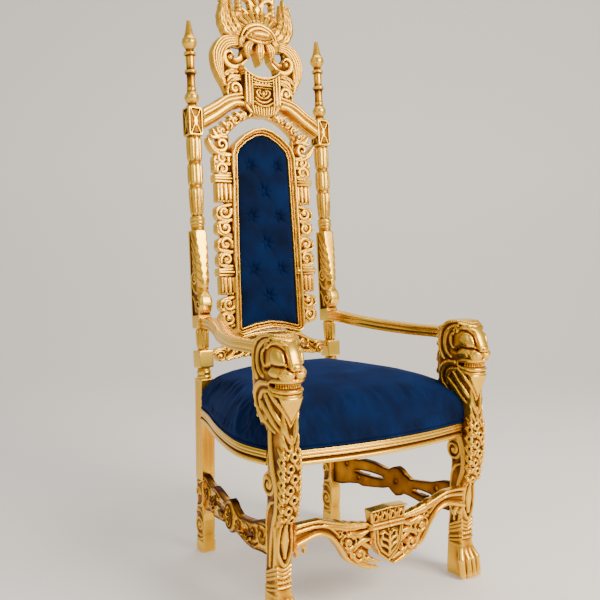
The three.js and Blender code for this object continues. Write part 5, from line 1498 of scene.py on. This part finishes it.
def buildRails():
    section = railSection()
    joint = rail["joint"]
    side = [(x, y, 0) for x, y in rail["side"][::-1]]
    side = clipped(side, 1, -joint, 236)
    mesh = sweep("seatRail", side[::2], section, len(side) // 2 + 1)
    addPair("seatRail", mesh, "seat_rail")
    half = [(x, y, 0) for x, y in rail["front"]]
    front = [(-x, y, z) for x, y, z in half] + half[-2::-1]
    front = clipped(front, 0, -joint, joint)
    addPiece("seatRailFront", sweep("seatRailFront", front[::2], section, len(front) // 2), gold, "gilded_wood", "seat_rail_front")
    low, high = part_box("seat_rail_back")
    (x0, y0, z0), (x1, y1, z1) = [[1000 * v for v in corner] for corner in (low, high)]
    ends = [(x0, y1, 0), (x1, y1, 0)]
    box = [(0.2 + a, z) for a, z in ((2, z0), (0, z0 + 2), (0, z1 - 2), (2, z1))]
    box += [(y1 - y0 - a, z) for a, z in ((2, z1), (0, z1 - 2), (0, z0 + 2), (2, z0))]
    addPiece("seatRailBack", sweep("seatRailBack", ends, [(-a, z) for a, z in box], 40), gold, "gilded_wood", "seat_rail_back")


# ---- the seat cushion ----

cushion = {
    "voxel": 0.0058,
    "pressure": 4.0,
    "reach": 0.009,  # the most that the stuffing may push the cover out
    "triangles": 58000,
    "piping": 2.6,
}


def stuffed(mesh):
    # the cover is blown up from inside, held along the rail, and hangs a little slack over the edge
    scene = bpy.context.scene
    cover = bpy.data.objects.new("cover", mesh)
    bpy.context.collection.objects.link(cover)
    grid = cover.modifiers.new("grid", "REMESH")
    grid.mode = "VOXEL"
    grid.voxel_size = cushion["voxel"]
    even = bpy.data.meshes.new_from_object(cover.evaluated_get(bpy.context.evaluated_depsgraph_get()))
    cover.modifiers.clear()
    cover.data = even
    before = arraysOf(even)[0]
    held = cover.vertex_groups.new(name="held")
    low = before[:, 2] < 458
    held.add([int(i) for i in np.flatnonzero(low)], 1.0, "REPLACE")
    cloth = cover.modifiers.new("cloth", "CLOTH")
    settings = cloth.settings
    settings.vertex_group_mass = "held"
    settings.use_pressure = True
    settings.uniform_pressure_force = cushion["pressure"]
    settings.effector_weights.gravity = 0.0
    settings.shrink_min = -0.035
    settings.quality = 4
    cloth.collision_settings.use_collision = False
    cloth.point_cache.frame_start, cloth.point_cache.frame_end = 1, 20
    for frameNumber in range(1, 21):
        scene.frame_set(frameNumber)
    puffed = bpy.data.meshes.new_from_object(cover.evaluated_get(bpy.context.evaluated_depsgraph_get()))
    scene.frame_set(1)
    after = arraysOf(puffed)[0]
    move = after - before
    length = np.linalg.norm(move, axis=1)[:, None] / 1000
    after = before + move * np.minimum(1, cushion["reach"] / np.maximum(length, 1e-9))
    puffed.vertices.foreach_set("co", (after / 1000).ravel())
    cover.modifiers.clear()
    cover.data = puffed
    fine = cover.modifiers.new("fine", "SUBSURF")
    fine.levels = 1
    whole = bpy.data.meshes.new_from_object(cover.evaluated_get(bpy.context.evaluated_depsgraph_get()))
    bpy.data.objects.remove(cover)
    whole.calc_loop_triangles()
    faces = np.empty(len(whole.loop_triangles) * 3, np.int32)
    whole.loop_triangles.foreach_get("vertices", faces)
    return makeMesh("cushion", arraysOf(whole)[0], faces.reshape(-1, 3), cushion["triangles"])


def cushionOutline():
    inset = 5
    plan = [(x - inset, y) for x, y in rail["side"]] + [(x, y + inset) for x, y in rail["front"]]
    half = splinePoints(plan[::-1], 90)
    rear = [(0, 266), (120, 266), (214, 262), (244, 246)]
    points = np.vstack([half, [(250, 236)], np.array(rear[::-1])])
    return points


def buildCushion():
    # rings from the rail up to the crown; plan from the middle of the front round to the middle of the back
    half = cushionOutline()
    ring = np.vstack([half, half[-2:0:-1] * np.array([-1, 1])])
    middle = np.array([0, -20.0])
    profile = [(0.2, 446), (0.9, 444.4), (0.985, 444.2), (1.0, 448), (1.006, 458), (1.008, 472), (1.0, 487), (0.985, 499), (0.955, 512), (0.91, 524), (0.84, 538), (0.74, 552), (0.6, 566), (0.42, 578), (0.2, 585.4), (0.06, 587.6)]
    rings = []
    for shrink, z in profile:
        flat = (ring - middle) * shrink + middle
        rings.append(np.column_stack([flat, np.full(len(flat), float(z))]))
    n = len(ring)
    verts = np.vstack(rings + [[(0, -20, 446.5)], [(0, -20, 588)]])
    faces = []
    for r in range(len(profile) - 1):
        i = np.arange(n)
        j = (i + 1) % n
        faces.append(np.stack([r * n + i, r * n + j, (r + 1) * n + j, (r + 1) * n + i], 1))
    faces = triangulated(np.concatenate(faces))
    i = np.arange(n)
    j = (i + 1) % n
    last = (len(profile) - 1) * n
    caps = np.concatenate([np.stack([j, i, np.full(n, len(verts) - 2)], 1), np.stack([last + i, last + j, np.full(n, len(verts) - 1)], 1)])
    mesh = makeMesh("cushion", verts, np.concatenate([faces, caps]))
    mesh = stuffed(mesh)
    # a cord sewn along the foot of the cover
    r = cushion["piping"]
    cord = [(1.5 + r * math.cos(a), 448 + r * math.sin(a)) for a in np.linspace(0, 2 * math.pi, 9)[:-1]]
    loop = np.vstack([ring, ring[:3]])
    piping = sweep("piping", np.column_stack([loop, np.zeros(len(loop))])[::2], [(-a, z) for a, z in cord], len(loop))
    piece = addPiece("seatCushion", joined("cushion", [mesh, piping]), velvet, "velvet", "seat_cushion")


# ---- everything in place ----

buildCrest()
buildPosts()
buildBackFrame()
buildBackPad()
buildLowerRail()
finishFrontStretcher()
addPair("sideStretcher", buildSideStretcher(), "stretcher")
addPair("lionLeg", buildLeg(), "front_leg")
addPair("armRest", buildArm(), "arm")
buildRails()
buildCushion()
